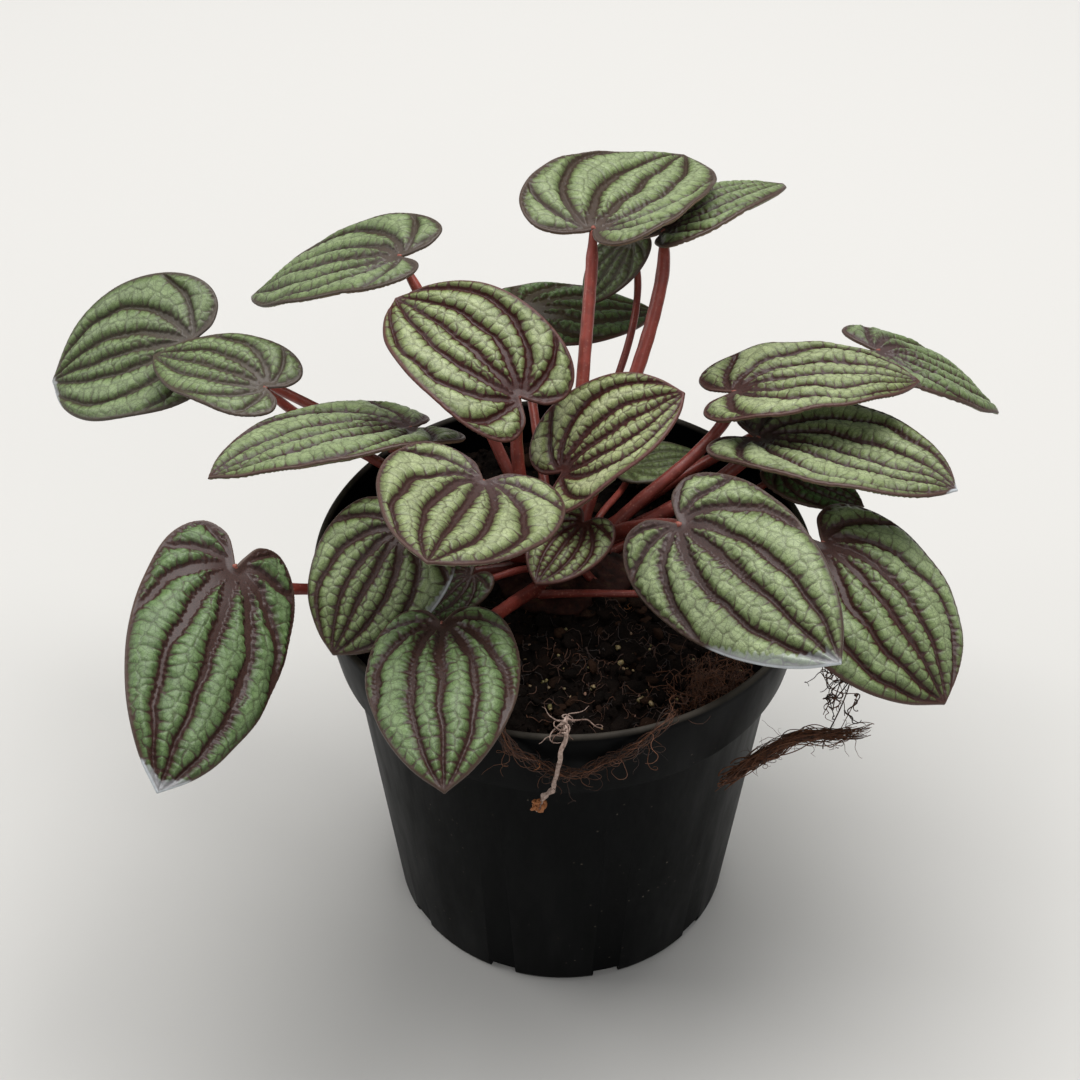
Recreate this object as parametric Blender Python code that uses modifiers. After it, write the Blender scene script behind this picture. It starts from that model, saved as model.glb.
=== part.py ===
"""Potted peperomia: a nursery pot, its soil, and a rosette of heart-shaped leaves on long petioles.

Lengths in the tables are millimetres and angles are degrees; MM turns lengths into metres.
The origin is the middle of the pot's underside, on the ground, with +Z up and -Y the front.
"""
import math

import bpy
import bmesh
from mathutils import Matrix, Vector

MM = 0.001
GAP = 0.35                 # clearance kept between neighbouring solids

# ---- pot --------------------------------------------------------------------------------------
RIM_RADIUS = 52.5
POT_HEIGHT = 95.0
FOOT_RADIUS = 37.5
COLLAR_HEIGHT = 20.0
COLLAR_FOOT_RADIUS = 48.9
BODY_TOP_RADIUS = 46.0
WALL = 1.2
FLOOR = 2.0
TURN_STEPS = 50
NOTCHES = 10
NOTCH_WIDTH = 6.0
NOTCH_HEIGHT = 2.8
NOTCH_LENGTH = 9.0
NOTCH_PHASE = 15.0         # turns the ring of notches away from the front

# ---- soil and crown ---------------------------------------------------------------------------
SOIL_TOP = 87.0
CROWN_CENTRE = Vector((0.0, 5.0, 0.0))

# ---- leaves -----------------------------------------------------------------------------------
BLADE_THICKNESS = 1.0
OUTLINE_STEPS = 5          # points in each arc of a leaf's half outline
RING_SCALES = (1.0, 0.68, 0.34)
BLADE_HEART = 0.3          # the rings close in on this share of the blade's length

# ---- petioles ---------------------------------------------------------------------------------
PETIOLE_RADIUS = 1.2
SMALL_PETIOLE_RADIUS = 0.75
SMALL_LEAF = 25.0          # a blade shorter than this stands on the thinner petiole
# Petioles leave the crown in three whorls: ring radius, height, and rise of the first stretch.
WHORLS = {"outer": (12.5, 90.6, 0.32), "middle": (8.2, 91.6, 0.62), "inner": (4.0, 92.6, 0.9)}
PETIOLE_SPACING = 3.3
# Petioles that leave the crown away from the side their leaf is on: row of LEAVES (from 0), bearing.
CROSSING_STARTS = {19: -102.0}

# One row a leaf: where the blade meets its petiole (x, y, z), the way its tip points in plan, how
# far the midrib drops there, its roll, length and width, how far the midrib arches down to the
# tip, how far the sides fold down, its whorl, how far its petiole bows aside and upward, and how
# full the blade is beside the tip, as a share of its width.
LEAVES = (
    ((-82, 50, 113), 178, 10, -20, 37, 37, 30, -12, "outer", -4, 2, 0.42),
    ((-63, 29, 117), 153, -6, -4, 30, 24, 22, -8, "outer", -7, -3, 0.33),
    ((-35, 52, 135), 163, 15, 3, 41, 34, 26, -7, "middle", 0, 3, 0.33),
    ((-32, 20, 114), 205, -18, 21, 47, 37, 26, -5, "middle", 0, 0, 0.33),
    ((-9, 13, 127), 141, -29, -9, 37, 32, 34, -18, "inner", 4, 0, 0.45),
    ((6, 52, 142), 62, 9, -5, 47, 40, 2, -32, "inner", 0, 0, 0.33),
    ((21, 58, 137), 43, -6, -21, 37, 29, 24, -5, "middle", 0, 0, 0.33),
    ((15, 66, 129), 215, 40, 0, 18, 14, 10, 10, "middle", 0, 0, 0.33),
    ((-9, 60, 114), 15, 5, 0, 32, 24, 15, 15, "middle", 0, 0, 0.33),
    ((-1, 7, 112), 14, -43, 3, 31, 30, 25, -20, "inner", 0, 0, 0.43),
    ((-16, -10, 125), 255, -16, -11, 40, 37, 0, -8, "inner", -4, 0, 0.33),
    ((4, -1, 105.5), 238, 4, -4, 19, 17, 14, 8, "middle", 0, 0, 0.33),
    ((-33, -12, 113), 238, 22, -8, 29, 29, 24, 14, "middle", 0, 0, 0.38),
    ((-65, -21, 112), 264, 3, -32, 53, 35, 26, 36, "outer", 0, -2, 0.33),
    ((-24, -38, 113), 271, -16, 3, 42, 32, 46, 38, "outer", 0, 2, 0.33),
    ((36, 33, 113), 4, -16, -14, 41, 35, 28, -4, "middle", 0, 0, 0.40),
    ((41, 24, 108), -24, -7, -13, 45, 40, 12, -14, "outer", 0, 0, 0.42),
    ((70, 54, 108), 8, 19, -11, 37, 30, 31, 10, "outer", 0, 3, 0.33),
    ((22, -14, 117), -57, -7, 28, 48, 34, 25, 21, "inner", 4, 0, 0.33),
    ((53, -4, 103), -50, 6, -1, 43, 41, 42, 24, "outer", -6, 0, 0.42),
    ((-19, -9, 98), 225, 10, 0, 16, 13, 10, 10, "middle", 0, 0, 0.33),
    ((14, 31, 93), 12, 0, 0, 18, 14, 0, -10, "middle", 0, 0, 0.33),
    ((46, 20, 102), -20, 15, 0, 20, 16, 0, 0, "outer", 0, 0, 0.33),
)

# ---- loose roots: hand-laid routes over the rim and down the collar ------------------------------
ROOT_STRAND = ((-13, -41, 89.2), (-13.5, -46, 93.5), (-13.3, -50.5, 96.5), (-10.5, -53.2, 93),
               (-5, -52.8, 87.5), (1, -52.6, 85.5), (8, -52.2, 88), (15, -51.2, 92.5),
               (19.5, -49.4, 96.6), (21, -45, 94.5), (23, -40, 89.2))
DRIED_STALK = ((1, -43, 89.6), (0.5, -47, 94.5), (0, -51, 97.6), (-0.8, -55, 94.5),
               (-2, -55.2, 87), (-3.8, -54.6, 80.5), (-5.8, -54, 76))
ROOT_TANGLE = ((41, -11, 89.2), (45.5, -12.3, 94.3), (49.8, -13.6, 97.3), (54, -15, 95.5),
               (56.2, -16.8, 89), (57.4, -20, 80), (57.2, -24.6, 73), (57.2, -25.9, 71.9))
FIBRE_BUNDLE = ((32, -37.8, 66), (40, -32.6, 67.5), (48, -29, 70), (56, -28, 70.2), (64, -28, 72))

COLLECTION_NAME = "potted_peperomia"


# ---- helpers ----------------------------------------------------------------------------------
def clear_scene():
    for obj in list(bpy.data.objects):
        bpy.data.objects.remove(obj, do_unlink=True)


def new_collection(name):
    collection = bpy.data.collections.new(name)
    bpy.context.scene.collection.children.link(collection)
    return collection


def material(name, colour, roughness):
    mat = bpy.data.materials.new(name)
    mat.use_nodes = True
    shader = mat.node_tree.nodes["Principled BSDF"]
    shader.inputs["Base Color"].default_value = (*colour, 1.0)
    shader.inputs["Roughness"].default_value = roughness
    return mat


def add_object(name, data, collection, mat=None):
    obj = bpy.data.objects.new(name, data)
    collection.objects.link(obj)
    if mat is not None:
        data.materials.append(mat)
    return obj


def turned(name, profile, collection, mat):
    """A closed turned solid: the profile, in the XZ plane, starts and ends on the axis."""
    mesh = bpy.data.meshes.new(name)
    points = [(r * MM, 0.0, z * MM) for r, z in profile]
    mesh.from_pydata(points, [(i, i + 1) for i in range(len(points) - 1)], [])
    obj = add_object(name, mesh, collection, mat)
    screw = obj.modifiers.new("Turn", "SCREW")
    screw.axis = "Z"
    screw.steps = screw.render_steps = TURN_STEPS
    screw.use_merge_vertices = True
    screw.merge_threshold = 0.00001
    screw.use_smooth_shade = True
    return obj


def tube(name, route, radius, collection, mat, taper=1.0):
    """A thin round strand through hand-laid points; the last point has taper times the radius."""
    curve = bpy.data.curves.new(name, "CURVE")
    curve.dimensions = "3D"
    curve.bevel_depth = radius * MM
    curve.bevel_resolution = 1
    curve.use_fill_caps = True
    curve.resolution_u = 2
    spline = curve.splines.new("BEZIER")
    spline.bezier_points.add(len(route) - 1)
    last = len(route) - 1
    for i, (knot, place) in enumerate(zip(spline.bezier_points, route)):
        knot.co = Vector(place) * MM
        knot.handle_left_type = knot.handle_right_type = "AUTO"
        knot.radius = 1.0 + (taper - 1.0) * i / last
    return add_object(name, curve, collection, mat)


# ---- pot --------------------------------------------------------------------------------------
def inner_radius(height):
    """Radius of the pot's inner face at a height, below the collar's ledge."""
    body_top = POT_HEIGHT - COLLAR_HEIGHT
    return FOOT_RADIUS + (BODY_TOP_RADIUS - FOOT_RADIUS) * height / body_top - WALL


def make_pot(collection, cutters, mat):
    ledge = POT_HEIGHT - COLLAR_HEIGHT
    profile = (
        (0.0, FLOOR), (inner_radius(FLOOR) - 1.0, FLOOR), (inner_radius(FLOOR + 1.0), FLOOR + 1.0),
        (inner_radius(ledge + WALL), ledge + WALL), (COLLAR_FOOT_RADIUS - WALL, ledge + WALL),
        (RIM_RADIUS - WALL, POT_HEIGHT - 0.4), (RIM_RADIUS - 0.9, POT_HEIGHT),
        (RIM_RADIUS - 0.3, POT_HEIGHT), (RIM_RADIUS, POT_HEIGHT - 0.5),
        (COLLAR_FOOT_RADIUS, ledge), (BODY_TOP_RADIUS, ledge),
        (FOOT_RADIUS + 0.15, 1.2), (FOOT_RADIUS - 0.3, 0.3), (FOOT_RADIUS - 1.0, 0.0), (0.0, 0.0),
    )
    pot = turned("pot", profile, collection, mat)

    cutter_mesh = bpy.data.meshes.new("drain_notches")
    shape = bmesh.new()
    for i in range(NOTCHES):
        angle = math.radians(NOTCH_PHASE - 90.0 + i * 360.0 / NOTCHES)
        size = Matrix.Diagonal((NOTCH_LENGTH, NOTCH_WIDTH, 2 * NOTCH_HEIGHT, 1.0))
        out = Matrix.Translation((FOOT_RADIUS, 0.0, 0.0))
        turn = Matrix.Rotation(angle, 4, "Z")
        bmesh.ops.create_cube(shape, size=1.0, matrix=Matrix.Scale(MM, 4) @ turn @ out @ size)
    shape.to_mesh(cutter_mesh)
    shape.free()
    cutter = add_object("drain_notches", cutter_mesh, cutters)
    cutter.display_type = "WIRE"
    cutter.hide_render = True
    cut = pot.modifiers.new("Notches", "BOOLEAN")
    cut.operation = "DIFFERENCE"
    cut.solver = "EXACT"
    cut.object = cutter


def make_soil(collection, mat):
    """Fills the pot to SOIL_TOP, a little low at the wall and heaped towards the crown."""
    ledge = POT_HEIGHT - COLLAR_HEIGHT
    above_floor = FLOOR + GAP
    collar_slope = (RIM_RADIUS - COLLAR_FOOT_RADIUS) / COLLAR_HEIGHT
    wall_at_top = COLLAR_FOOT_RADIUS - WALL + collar_slope * (SOIL_TOP - ledge)
    profile = (
        (0.0, SOIL_TOP), (24.0, SOIL_TOP), (38.0, SOIL_TOP - 0.6), (wall_at_top - 2.0, SOIL_TOP - 0.9),
        (wall_at_top - 0.9, SOIL_TOP - 1.8), (COLLAR_FOOT_RADIUS - WALL - 2 * GAP, ledge + WALL + GAP),
        (inner_radius(ledge) - 2 * GAP, ledge + WALL + GAP),
        (inner_radius(above_floor) - 3.0 * GAP, above_floor + 2.0),
        (inner_radius(above_floor) - 2.0, above_floor), (0.0, above_floor),
    )
    turned("soil", profile, collection, mat)


def make_crown(collection, mat):
    """The low woody mound that all the petioles spring from."""
    foot = SOIL_TOP + GAP
    profile = ((0.0, 91.6), (5.0, 91.3), (8.0, 90.1), (9.5, 89.7), (11.0, 88.8), (13.5, 88.4),
               (15.5, 88.0), (16.0, foot), (0.0, foot))
    crown = turned("crown", profile, collection, mat)
    crown.location = CROWN_CENTRE * MM


# ---- leaf blades ------------------------------------------------------------------------------
def bezier(a, b, c, d, steps):
    """Points from a towards d along a cubic curve, without d itself."""
    points = []
    for i in range(steps):
        t = i / steps
        u = 1.0 - t
        points.append(tuple(u**3 * p + 3 * u * u * t * q + 3 * u * t * t * r + t**3 * s
                            for p, q, r, s in zip(a, b, c, d)))
    return points


def leaf_outline(fullness):
    """Heart outline of unit length and width: notch, lobe, widest point, tip, and back round."""
    notch, lobe, widest, tip = (0.0, 0.0), (-0.165, 0.22), (0.25, 0.5), (1.0, 0.0)
    half = bezier(notch, (-0.03, 0.03), (-0.17, 0.07), lobe, OUTLINE_STEPS - 2)
    half += bezier(lobe, (-0.16, 0.4), (0.03, 0.5), widest, OUTLINE_STEPS)
    half += bezier(widest, (0.53, 0.5), (0.84, fullness), tip, OUTLINE_STEPS + 1)
    return half + [tip] + [(x, -y) for x, y in reversed(half[1:])]


def arc(distance, turn):
    """Along and down from following a circular arc that turns by turn over unit distance."""
    turn = turn if abs(turn) > 1e-4 else 1e-4
    return math.sin(turn * distance) / turn, (1.0 - math.cos(turn * distance)) / turn


def blade_point(x, y, length, width, arch, fold):
    """Bends a flat outline point down along the midrib (arch) and down at the sides (fold)."""
    along, sag = arc(x, arch)
    across, fall = arc(2.0 * abs(y), fold)
    fall *= width / 2.0
    lean = arch * x
    return Vector((length * along - fall * math.sin(lean),
                   math.copysign(across * width / 2.0, y),
                   -length * sag - fall * math.cos(lean)))


def blade_matrix(place, bearing, drop, roll):
    """Leaf axes: X along the midrib to the tip, Y to the leaf's left, Z out of its upper face."""
    return (Matrix.Translation(Vector(place) * MM)
            @ Matrix.Rotation(math.radians(bearing), 4, "Z")
            @ Matrix.Rotation(math.radians(drop), 4, "Y")
            @ Matrix.Rotation(math.radians(roll), 4, "X"))


def make_blade(name, row, collection, mat):
    place, bearing, drop, roll, length, width, arch, fold = row[:8]
    arch, fold = math.radians(arch), math.radians(fold)
    outline = leaf_outline(row[11])
    shape = bmesh.new()
    rings = []
    for scale in RING_SCALES:
        ring = []
        for x, y in outline:
            x = BLADE_HEART + (x - BLADE_HEART) * scale
            ring.append(shape.verts.new(blade_point(x, y * scale, length, width, arch, fold) * MM))
        rings.append(ring)
    heart = shape.verts.new(blade_point(BLADE_HEART, 0.0, length, width, arch, fold) * MM)
    count = len(outline)
    for i in range(count):
        j = (i + 1) % count
        for outer, inner in zip(rings, rings[1:]):
            shape.faces.new((outer[j], outer[i], inner[i], inner[j]))
        shape.faces.new((rings[-1][j], rings[-1][i], heart))
    mesh = bpy.data.meshes.new(name)
    shape.to_mesh(mesh)
    shape.free()
    mesh.shade_smooth()
    blade = add_object(name, mesh, collection, mat)
    blade.matrix_world = blade_matrix(place, bearing, drop, roll)
    skin = blade.modifiers.new("Thickness", "SOLIDIFY")
    skin.thickness = BLADE_THICKNESS * MM
    skin.offset = 0.0


# ---- petioles ---------------------------------------------------------------------------------
def spread(angles, gap):
    """Pushes sorted angles round a circle apart until neighbours are gap from each other."""
    order = sorted(range(len(angles)), key=lambda k: angles[k])
    ring = [angles[k] for k in order]
    for _ in range(400):
        for i in range(len(ring)):
            j = (i + 1) % len(ring)
            room = ring[j] - ring[i] + (math.tau if j == 0 else 0.0)
            if room < gap:
                ring[i] -= (gap - room) / 2
                ring[j] += (gap - room) / 2
    placed = [0.0] * len(angles)
    for k, angle in zip(order, ring):
        placed[k] = angle
    return placed


def petiole_starts():
    """Where each petiole leaves the crown: round its whorl, in the order of the leaves' bearings."""
    starts = {}
    for whorl, (radius, height, _) in WHORLS.items():
        members = [k for k, row in enumerate(LEAVES) if row[8] == whorl]
        bearings = []
        for k in members:
            away = Vector(LEAVES[k][0]) - CROWN_CENTRE
            direct = math.degrees(math.atan2(away.y, away.x))
            bearings.append(math.radians(CROSSING_STARTS.get(k, direct)))
        for k, angle in zip(members, spread(bearings, PETIOLE_SPACING / radius)):
            offset = Vector((radius * math.cos(angle), radius * math.sin(angle), height))
            starts[k] = CROWN_CENTRE + offset
    return starts


def make_petiole(name, row, start, collection, mat):
    """A rod from the crown that climbs, then turns up into the underside of its blade."""
    place, bearing, drop, roll, length = row[:5]
    whorl, aside, upward = row[8:11]
    radius = SMALL_PETIOLE_RADIUS if length < SMALL_LEAF else PETIOLE_RADIUS
    axes = blade_matrix(place, bearing, drop, roll).to_3x3()
    below = BLADE_THICKNESS / 2 + 0.7 * radius + GAP
    end = Vector(place) + axes @ Vector((0.8, 0.0, -below))
    span = (end - start).length
    outward = Vector((end.x - start.x, end.y - start.y, 0.0)).normalized()
    climb = WHORLS[whorl][2]
    leave = outward * math.sqrt(1.0 - climb * climb) + Vector((0.0, 0.0, climb))
    arrive = (axes @ Vector((0.0, 0.0, 0.75)) + outward * 0.65).normalized()
    bow = Vector((-outward.y, outward.x, 0.0)) * aside + Vector((0.0, 0.0, upward))

    curve = bpy.data.curves.new(name, "CURVE")
    curve.dimensions = "3D"
    curve.bevel_depth = radius * MM
    curve.bevel_resolution = 2
    curve.use_fill_caps = True
    curve.resolution_u = 8
    spline = curve.splines.new("BEZIER")
    spline.bezier_points.add(1)
    first, last = spline.bezier_points
    for knot in (first, last):
        knot.handle_left_type = knot.handle_right_type = "FREE"
    first.co = start * MM
    first.handle_right = (start + leave * span * 0.33 + bow) * MM
    first.handle_left = (start - leave) * MM
    last.co = end * MM
    last.handle_left = (end - arrive * span * 0.3 + bow) * MM
    last.handle_right = (end + arrive) * MM
    last.radius = 0.85
    add_object(name, curve, collection, mat)


def main():
    clear_scene()
    parts = new_collection(COLLECTION_NAME)
    cutters = new_collection("cutters")

    make_pot(parts, cutters, material("black_plastic", (0.012, 0.013, 0.015), 0.35))
    make_soil(parts, material("peat_soil", (0.03, 0.018, 0.011), 0.95))
    make_crown(parts, material("crown_tissue", (0.12, 0.06, 0.03), 0.7))

    blade_green = material("leaf_green", (0.2, 0.36, 0.13), 0.4)
    petiole_red = material("petiole_red", (0.32, 0.06, 0.05), 0.45)
    starts = petiole_starts()
    for k, row in enumerate(LEAVES):
        make_blade(f"leaf_{k + 1:02d}", row, parts, blade_green)
        make_petiole(f"petiole_{k + 1:02d}", row, starts[k], parts, petiole_red)

    root_brown = material("root_brown", (0.12, 0.06, 0.035), 0.85)
    tube("root_strand", ROOT_STRAND, 0.5, parts, root_brown)
    tube("dried_stalk", DRIED_STALK, 0.8, parts, root_brown, taper=1.9)
    tube("root_tangle", ROOT_TANGLE, 0.9, parts, root_brown)
    tube("fibre_bundle", FIBRE_BUNDLE, 1.6, parts, root_brown, taper=0.5)


main()
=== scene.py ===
"""Looks of the potted peperomia: quilted leaves on red stalks, dark peat and loose roots in a black pot.

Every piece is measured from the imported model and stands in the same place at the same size.
Lengths named in the panel are metres; MM turns the millimetres used inside the script into metres.
"""
import math

import bmesh
import bpy
import numpy as np
from bpy.props import FloatProperty, FloatVectorProperty, IntProperty, PointerProperty
from mathutils import Matrix, Vector
from mathutils.geometry import delaunay_2d_cdt


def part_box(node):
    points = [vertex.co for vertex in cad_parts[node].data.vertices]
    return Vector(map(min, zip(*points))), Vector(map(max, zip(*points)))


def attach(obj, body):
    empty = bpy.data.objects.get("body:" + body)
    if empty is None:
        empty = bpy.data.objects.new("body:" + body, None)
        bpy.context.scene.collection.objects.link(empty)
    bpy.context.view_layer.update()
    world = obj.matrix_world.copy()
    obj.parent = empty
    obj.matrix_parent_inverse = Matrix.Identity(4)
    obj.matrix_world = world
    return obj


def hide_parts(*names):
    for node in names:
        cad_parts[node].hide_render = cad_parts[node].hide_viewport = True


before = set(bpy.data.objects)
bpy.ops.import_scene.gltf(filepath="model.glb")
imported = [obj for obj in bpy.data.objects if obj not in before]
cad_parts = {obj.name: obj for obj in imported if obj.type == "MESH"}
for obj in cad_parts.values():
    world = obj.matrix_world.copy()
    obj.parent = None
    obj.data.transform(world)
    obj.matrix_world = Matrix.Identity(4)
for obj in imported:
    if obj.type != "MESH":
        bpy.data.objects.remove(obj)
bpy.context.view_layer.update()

bl_info = {
    "name": "Potted Peperomia",
    "version": (1, 0, 0),
    "blender": (4, 5, 0),
    "location": "View3D > Sidebar > Peperomia",
    "description": "Builds the leaves, stalks, soil, roots and pot over the packed model",
    "category": "Object",
}

MM = 0.001
NODES = sorted(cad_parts)
BLADES = [name for name in NODES if name.startswith("leaf_")]


def srgb(code):
    """An sRGB hex colour as linear red, green, blue."""
    parts = [int(code[i:i + 2], 16) / 255.0 for i in (1, 3, 5)]
    return tuple(p / 12.92 if p <= 0.04045 else ((p + 0.055) / 1.055) ** 2.4 for p in parts)


# How each leaf looks, by the number of its node: freshness from 0 (old, deep green) to 1 (new, light
# green), a painted silvery sheen from 0 (none) to 1 (a silvery film), and redness of its veins from 0
# (grey-brown) to 1.
# The low freshness of the lower leaves, 14 and 15, also darkens them as painted shade.
LEAF_TONES = {
    1: (0.35, 0.50, 0.20), 2: (0.40, 0.35, 0.30), 3: (0.40, 0.35, 0.25), 4: (0.46, 0.25, 0.50),
    5: (0.76, 0.00, 0.95), 6: (0.50, 0.25, 0.35), 7: (0.43, 0.20, 0.40), 8: (0.40, 0.25, 0.40),
    9: (0.20, 0.00, 0.70), 10: (0.95, 0.00, 1.00), 11: (0.72, 0.30, 0.60), 12: (0.80, 0.00, 0.90),
    13: (0.52, 0.08, 0.40), 14: (0.14, 0.12, 0.45), 15: (0.22, 0.04, 0.40), 16: (0.72, 0.10, 0.70),
    17: (0.60, 0.30, 0.55), 18: (0.35, 0.35, 0.45), 19: (0.52, 0.22, 0.35), 20: (0.45, 0.10, 0.60),
    21: (0.15, 0.00, 0.40), 22: (0.55, 0.00, 0.20), 23: (0.00, 0.05, 0.50),
}
# How dark the veins of some leaves are, beside 1 for the rest, by number.
VEIN_DARKNESS = {1: 0.72, 2: 0.75, 3: 0.8, 6: 0.85, 8: 0.6, 9: 0.7, 22: 0.3}
# How broad the main veins of some leaves are, beside 1 for the rest, by number.
VEIN_BREADTH = {9: 1.7, 13: 1.1, 14: 1.25, 15: 1.15, 20: 1.15}
# Where the skin has lifted to a silver film along the margin, by leaf number: on the leaf's left (1),
# right (-1) or both sides (0), from and to what share of its length, and how many millimetres wide.
SILVER_MARGINS = {1: (1, 0.84, 1.2, 2.0), 13: (1, 0.05, 0.75, 2.6), 14: (0, 0.90, 1.2, 3.2),
                  17: (0, 0.96, 1.2, 1.4), 19: (-1, 0.50, 1.2, 3.8)}


# ---- settings ---------------------------------------------------------------------------------
class LeafSettings(bpy.types.PropertyGroup):
    thickness: FloatProperty(
        name="Thickness", description="Thickness of the fleshy blade", default=0.9 * MM, unit="LENGTH")
    groove: FloatProperty(
        name="Vein groove", description="How far the main veins sink below the panels",
        default=1.5 * MM, unit="LENGTH")
    pucker: FloatProperty(
        name="Pucker", description="How far each cell between fine veins stands up",
        default=0.22 * MM, unit="LENGTH")
    cell: FloatProperty(
        name="Cell", description="Spacing of the fine veins on a 45 mm leaf",
        default=2.3 * MM, unit="LENGTH")
    mesh_step: FloatProperty(
        name="Mesh step", description="Size of the faces on the upper side",
        default=0.22 * MM, unit="LENGTH")
    fresh: FloatVectorProperty(
        name="Fresh green", description="Panels of a young leaf", subtype="COLOR", default=srgb("#828C58"))
    # The mature green is darker than the old leaves' own colour: it also carries painted shade for the lower
    # leaves.
    mature_and_shade: FloatVectorProperty(
        name="Mature green", description="Panels of an old leaf", subtype="COLOR", default=srgb("#446133"))
    # The crest colours are partly the panels' own paler middles and partly a painted highlight on each
    # panel's crest.
    crest: FloatVectorProperty(
        name="Fresh crest", description="Middle of each panel of a young leaf",
        subtype="COLOR", default=srgb("#B2B58D"))
    old_crest_highlight: FloatVectorProperty(
        name="Old crest", description="Middle of each panel of an old leaf",
        subtype="COLOR", default=srgb("#98AD86"))
    # Colour of the painted silvery sheen.
    painted_sheen: FloatVectorProperty(
        name="Bloom", description="Silvery film over older leaves", subtype="COLOR",
        default=srgb("#85797C"))
    vein_red: FloatVectorProperty(
        name="Red veins", description="Veins of a young leaf", subtype="COLOR", default=srgb("#341511"))
    vein_grey: FloatVectorProperty(
        name="Grey veins", description="Veins of an old leaf", subtype="COLOR", default=srgb("#32251F"))
    margin: FloatVectorProperty(
        name="Margin", description="Narrow rim of the blade", subtype="COLOR", default=srgb("#5C3832"))
    underside: FloatVectorProperty(
        name="Underside", description="Lower face of the blade", subtype="COLOR", default=srgb("#8FA27B"))


class StalkSettings(bpy.types.PropertyGroup):
    deep: FloatVectorProperty(
        name="Deep red", description="Shaded stalks", subtype="COLOR", default=srgb("#641F15"))
    lit_pink: FloatVectorProperty(
        name="Pink red", description="Stalks out in the light", subtype="COLOR", default=srgb("#95473D"))
    foot: FloatVectorProperty(
        name="Foot", description="Where a stalk leaves the crown", subtype="COLOR", default=srgb("#421710"))


class SoilSettings(bpy.types.PropertyGroup):
    clump: FloatProperty(
        name="Clumps", description="Height of the clumps on the soil", default=1.35 * MM, unit="LENGTH")
    crumbs: IntProperty(name="Crumbs", description="Loose crumbs of peat", default=2100)
    grains: IntProperty(name="Grains", description="Pale feed grains", default=62)
    fibres: IntProperty(name="Fibres", description="Fine dead roots on the soil", default=760)
    damp: FloatVectorProperty(
        name="Damp peat", description="Most of the soil", subtype="COLOR", default=srgb("#080402"))
    dry: FloatVectorProperty(
        name="Dry peat", description="Raised crumbs", subtype="COLOR", default=srgb("#120A06"))
    fibre_dark: FloatVectorProperty(
        name="Dark fibre", description="Damp dead roots", subtype="COLOR", default=srgb("#1C100B"))
    fibre_rust: FloatVectorProperty(
        name="Rust fibre", description="Dry dead roots", subtype="COLOR", default=srgb("#6E4022"))


class PotSettings(bpy.types.PropertyGroup):
    collar: FloatProperty(
        name="Collar", description="Height of the collar", default=20.0 * MM, unit="LENGTH")
    wall: FloatProperty(name="Wall", description="Thickness of the wall", default=1.2 * MM, unit="LENGTH")
    slots: IntProperty(name="Slots", description="Drain slots round the foot", default=10)
    colour: FloatVectorProperty(
        name="Plastic", description="Black polypropylene", subtype="COLOR", default=srgb("#040506"))
    # The dust colour also paints the highlight along the top of the lip.
    dust_and_lip_highlight: FloatVectorProperty(
        name="Dust", description="Dried soil dust on the plastic", subtype="COLOR", default=srgb("#8C8377"))


class StageSettings(bpy.types.PropertyGroup):
    lens: FloatProperty(name="Lens", description="Focal length, in millimetres", default=80.0)
    distance: FloatProperty(
        name="Distance", description="From the camera to the middle of the plant",
        default=0.5263, unit="LENGTH")
    elevation: FloatProperty(
        name="Elevation", description="How far the camera looks down", subtype="ANGLE",
        default=math.radians(42.13))
    floor: FloatVectorProperty(
        name="Floor", description="Plain pale floor", subtype="COLOR", default=srgb("#C9C7C3"))


# ---- shared helpers ---------------------------------------------------------------------------
def add(tree, kind, inputs=None, **settings):
    """Adds a node; an input takes either a value or the output that feeds it."""
    made = tree.nodes.new(kind)
    for name, value in settings.items():
        setattr(made, name, value)
    for key, value in (inputs or {}).items():
        if isinstance(value, bpy.types.NodeSocket):
            tree.links.new(value, made.inputs[key])
        else:
            made.inputs[key].default_value = value
    return made


def new_material(name):
    """An empty material and its node tree, with the output node in place."""
    mat = bpy.data.materials.new(name)
    mat.use_nodes = True
    mat.node_tree.nodes.clear()
    return mat, mat.node_tree


def waves(points, size, seed, count=7):
    """Smooth random bumps about size across, between -1 and 1, at rows of 2-D or 3-D points."""
    rng = np.random.default_rng(seed)
    turns = rng.normal(size=(points.shape[1], count))
    turns *= 2.0 * np.pi / (size * np.linalg.norm(turns, axis=0)) * rng.uniform(0.6, 1.4, count)
    return np.sin(points @ turns + rng.uniform(0.0, 2.0 * np.pi, count)).sum(axis=1) / count ** 0.5 / 1.4


def smooth_step(value, low, high):
    share = np.clip((value - low) / (high - low), 0.0, 1.0)
    return share * share * (3.0 - 2.0 * share)


def soft_min(a, b, blend):
    share = np.clip(0.5 + 0.5 * (b - a) / blend, 0.0, 1.0)
    return b + (a - b) * share - blend * share * (1.0 - share)


def unit(vectors):
    return vectors / np.linalg.norm(vectors, axis=-1, keepdims=True)


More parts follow.
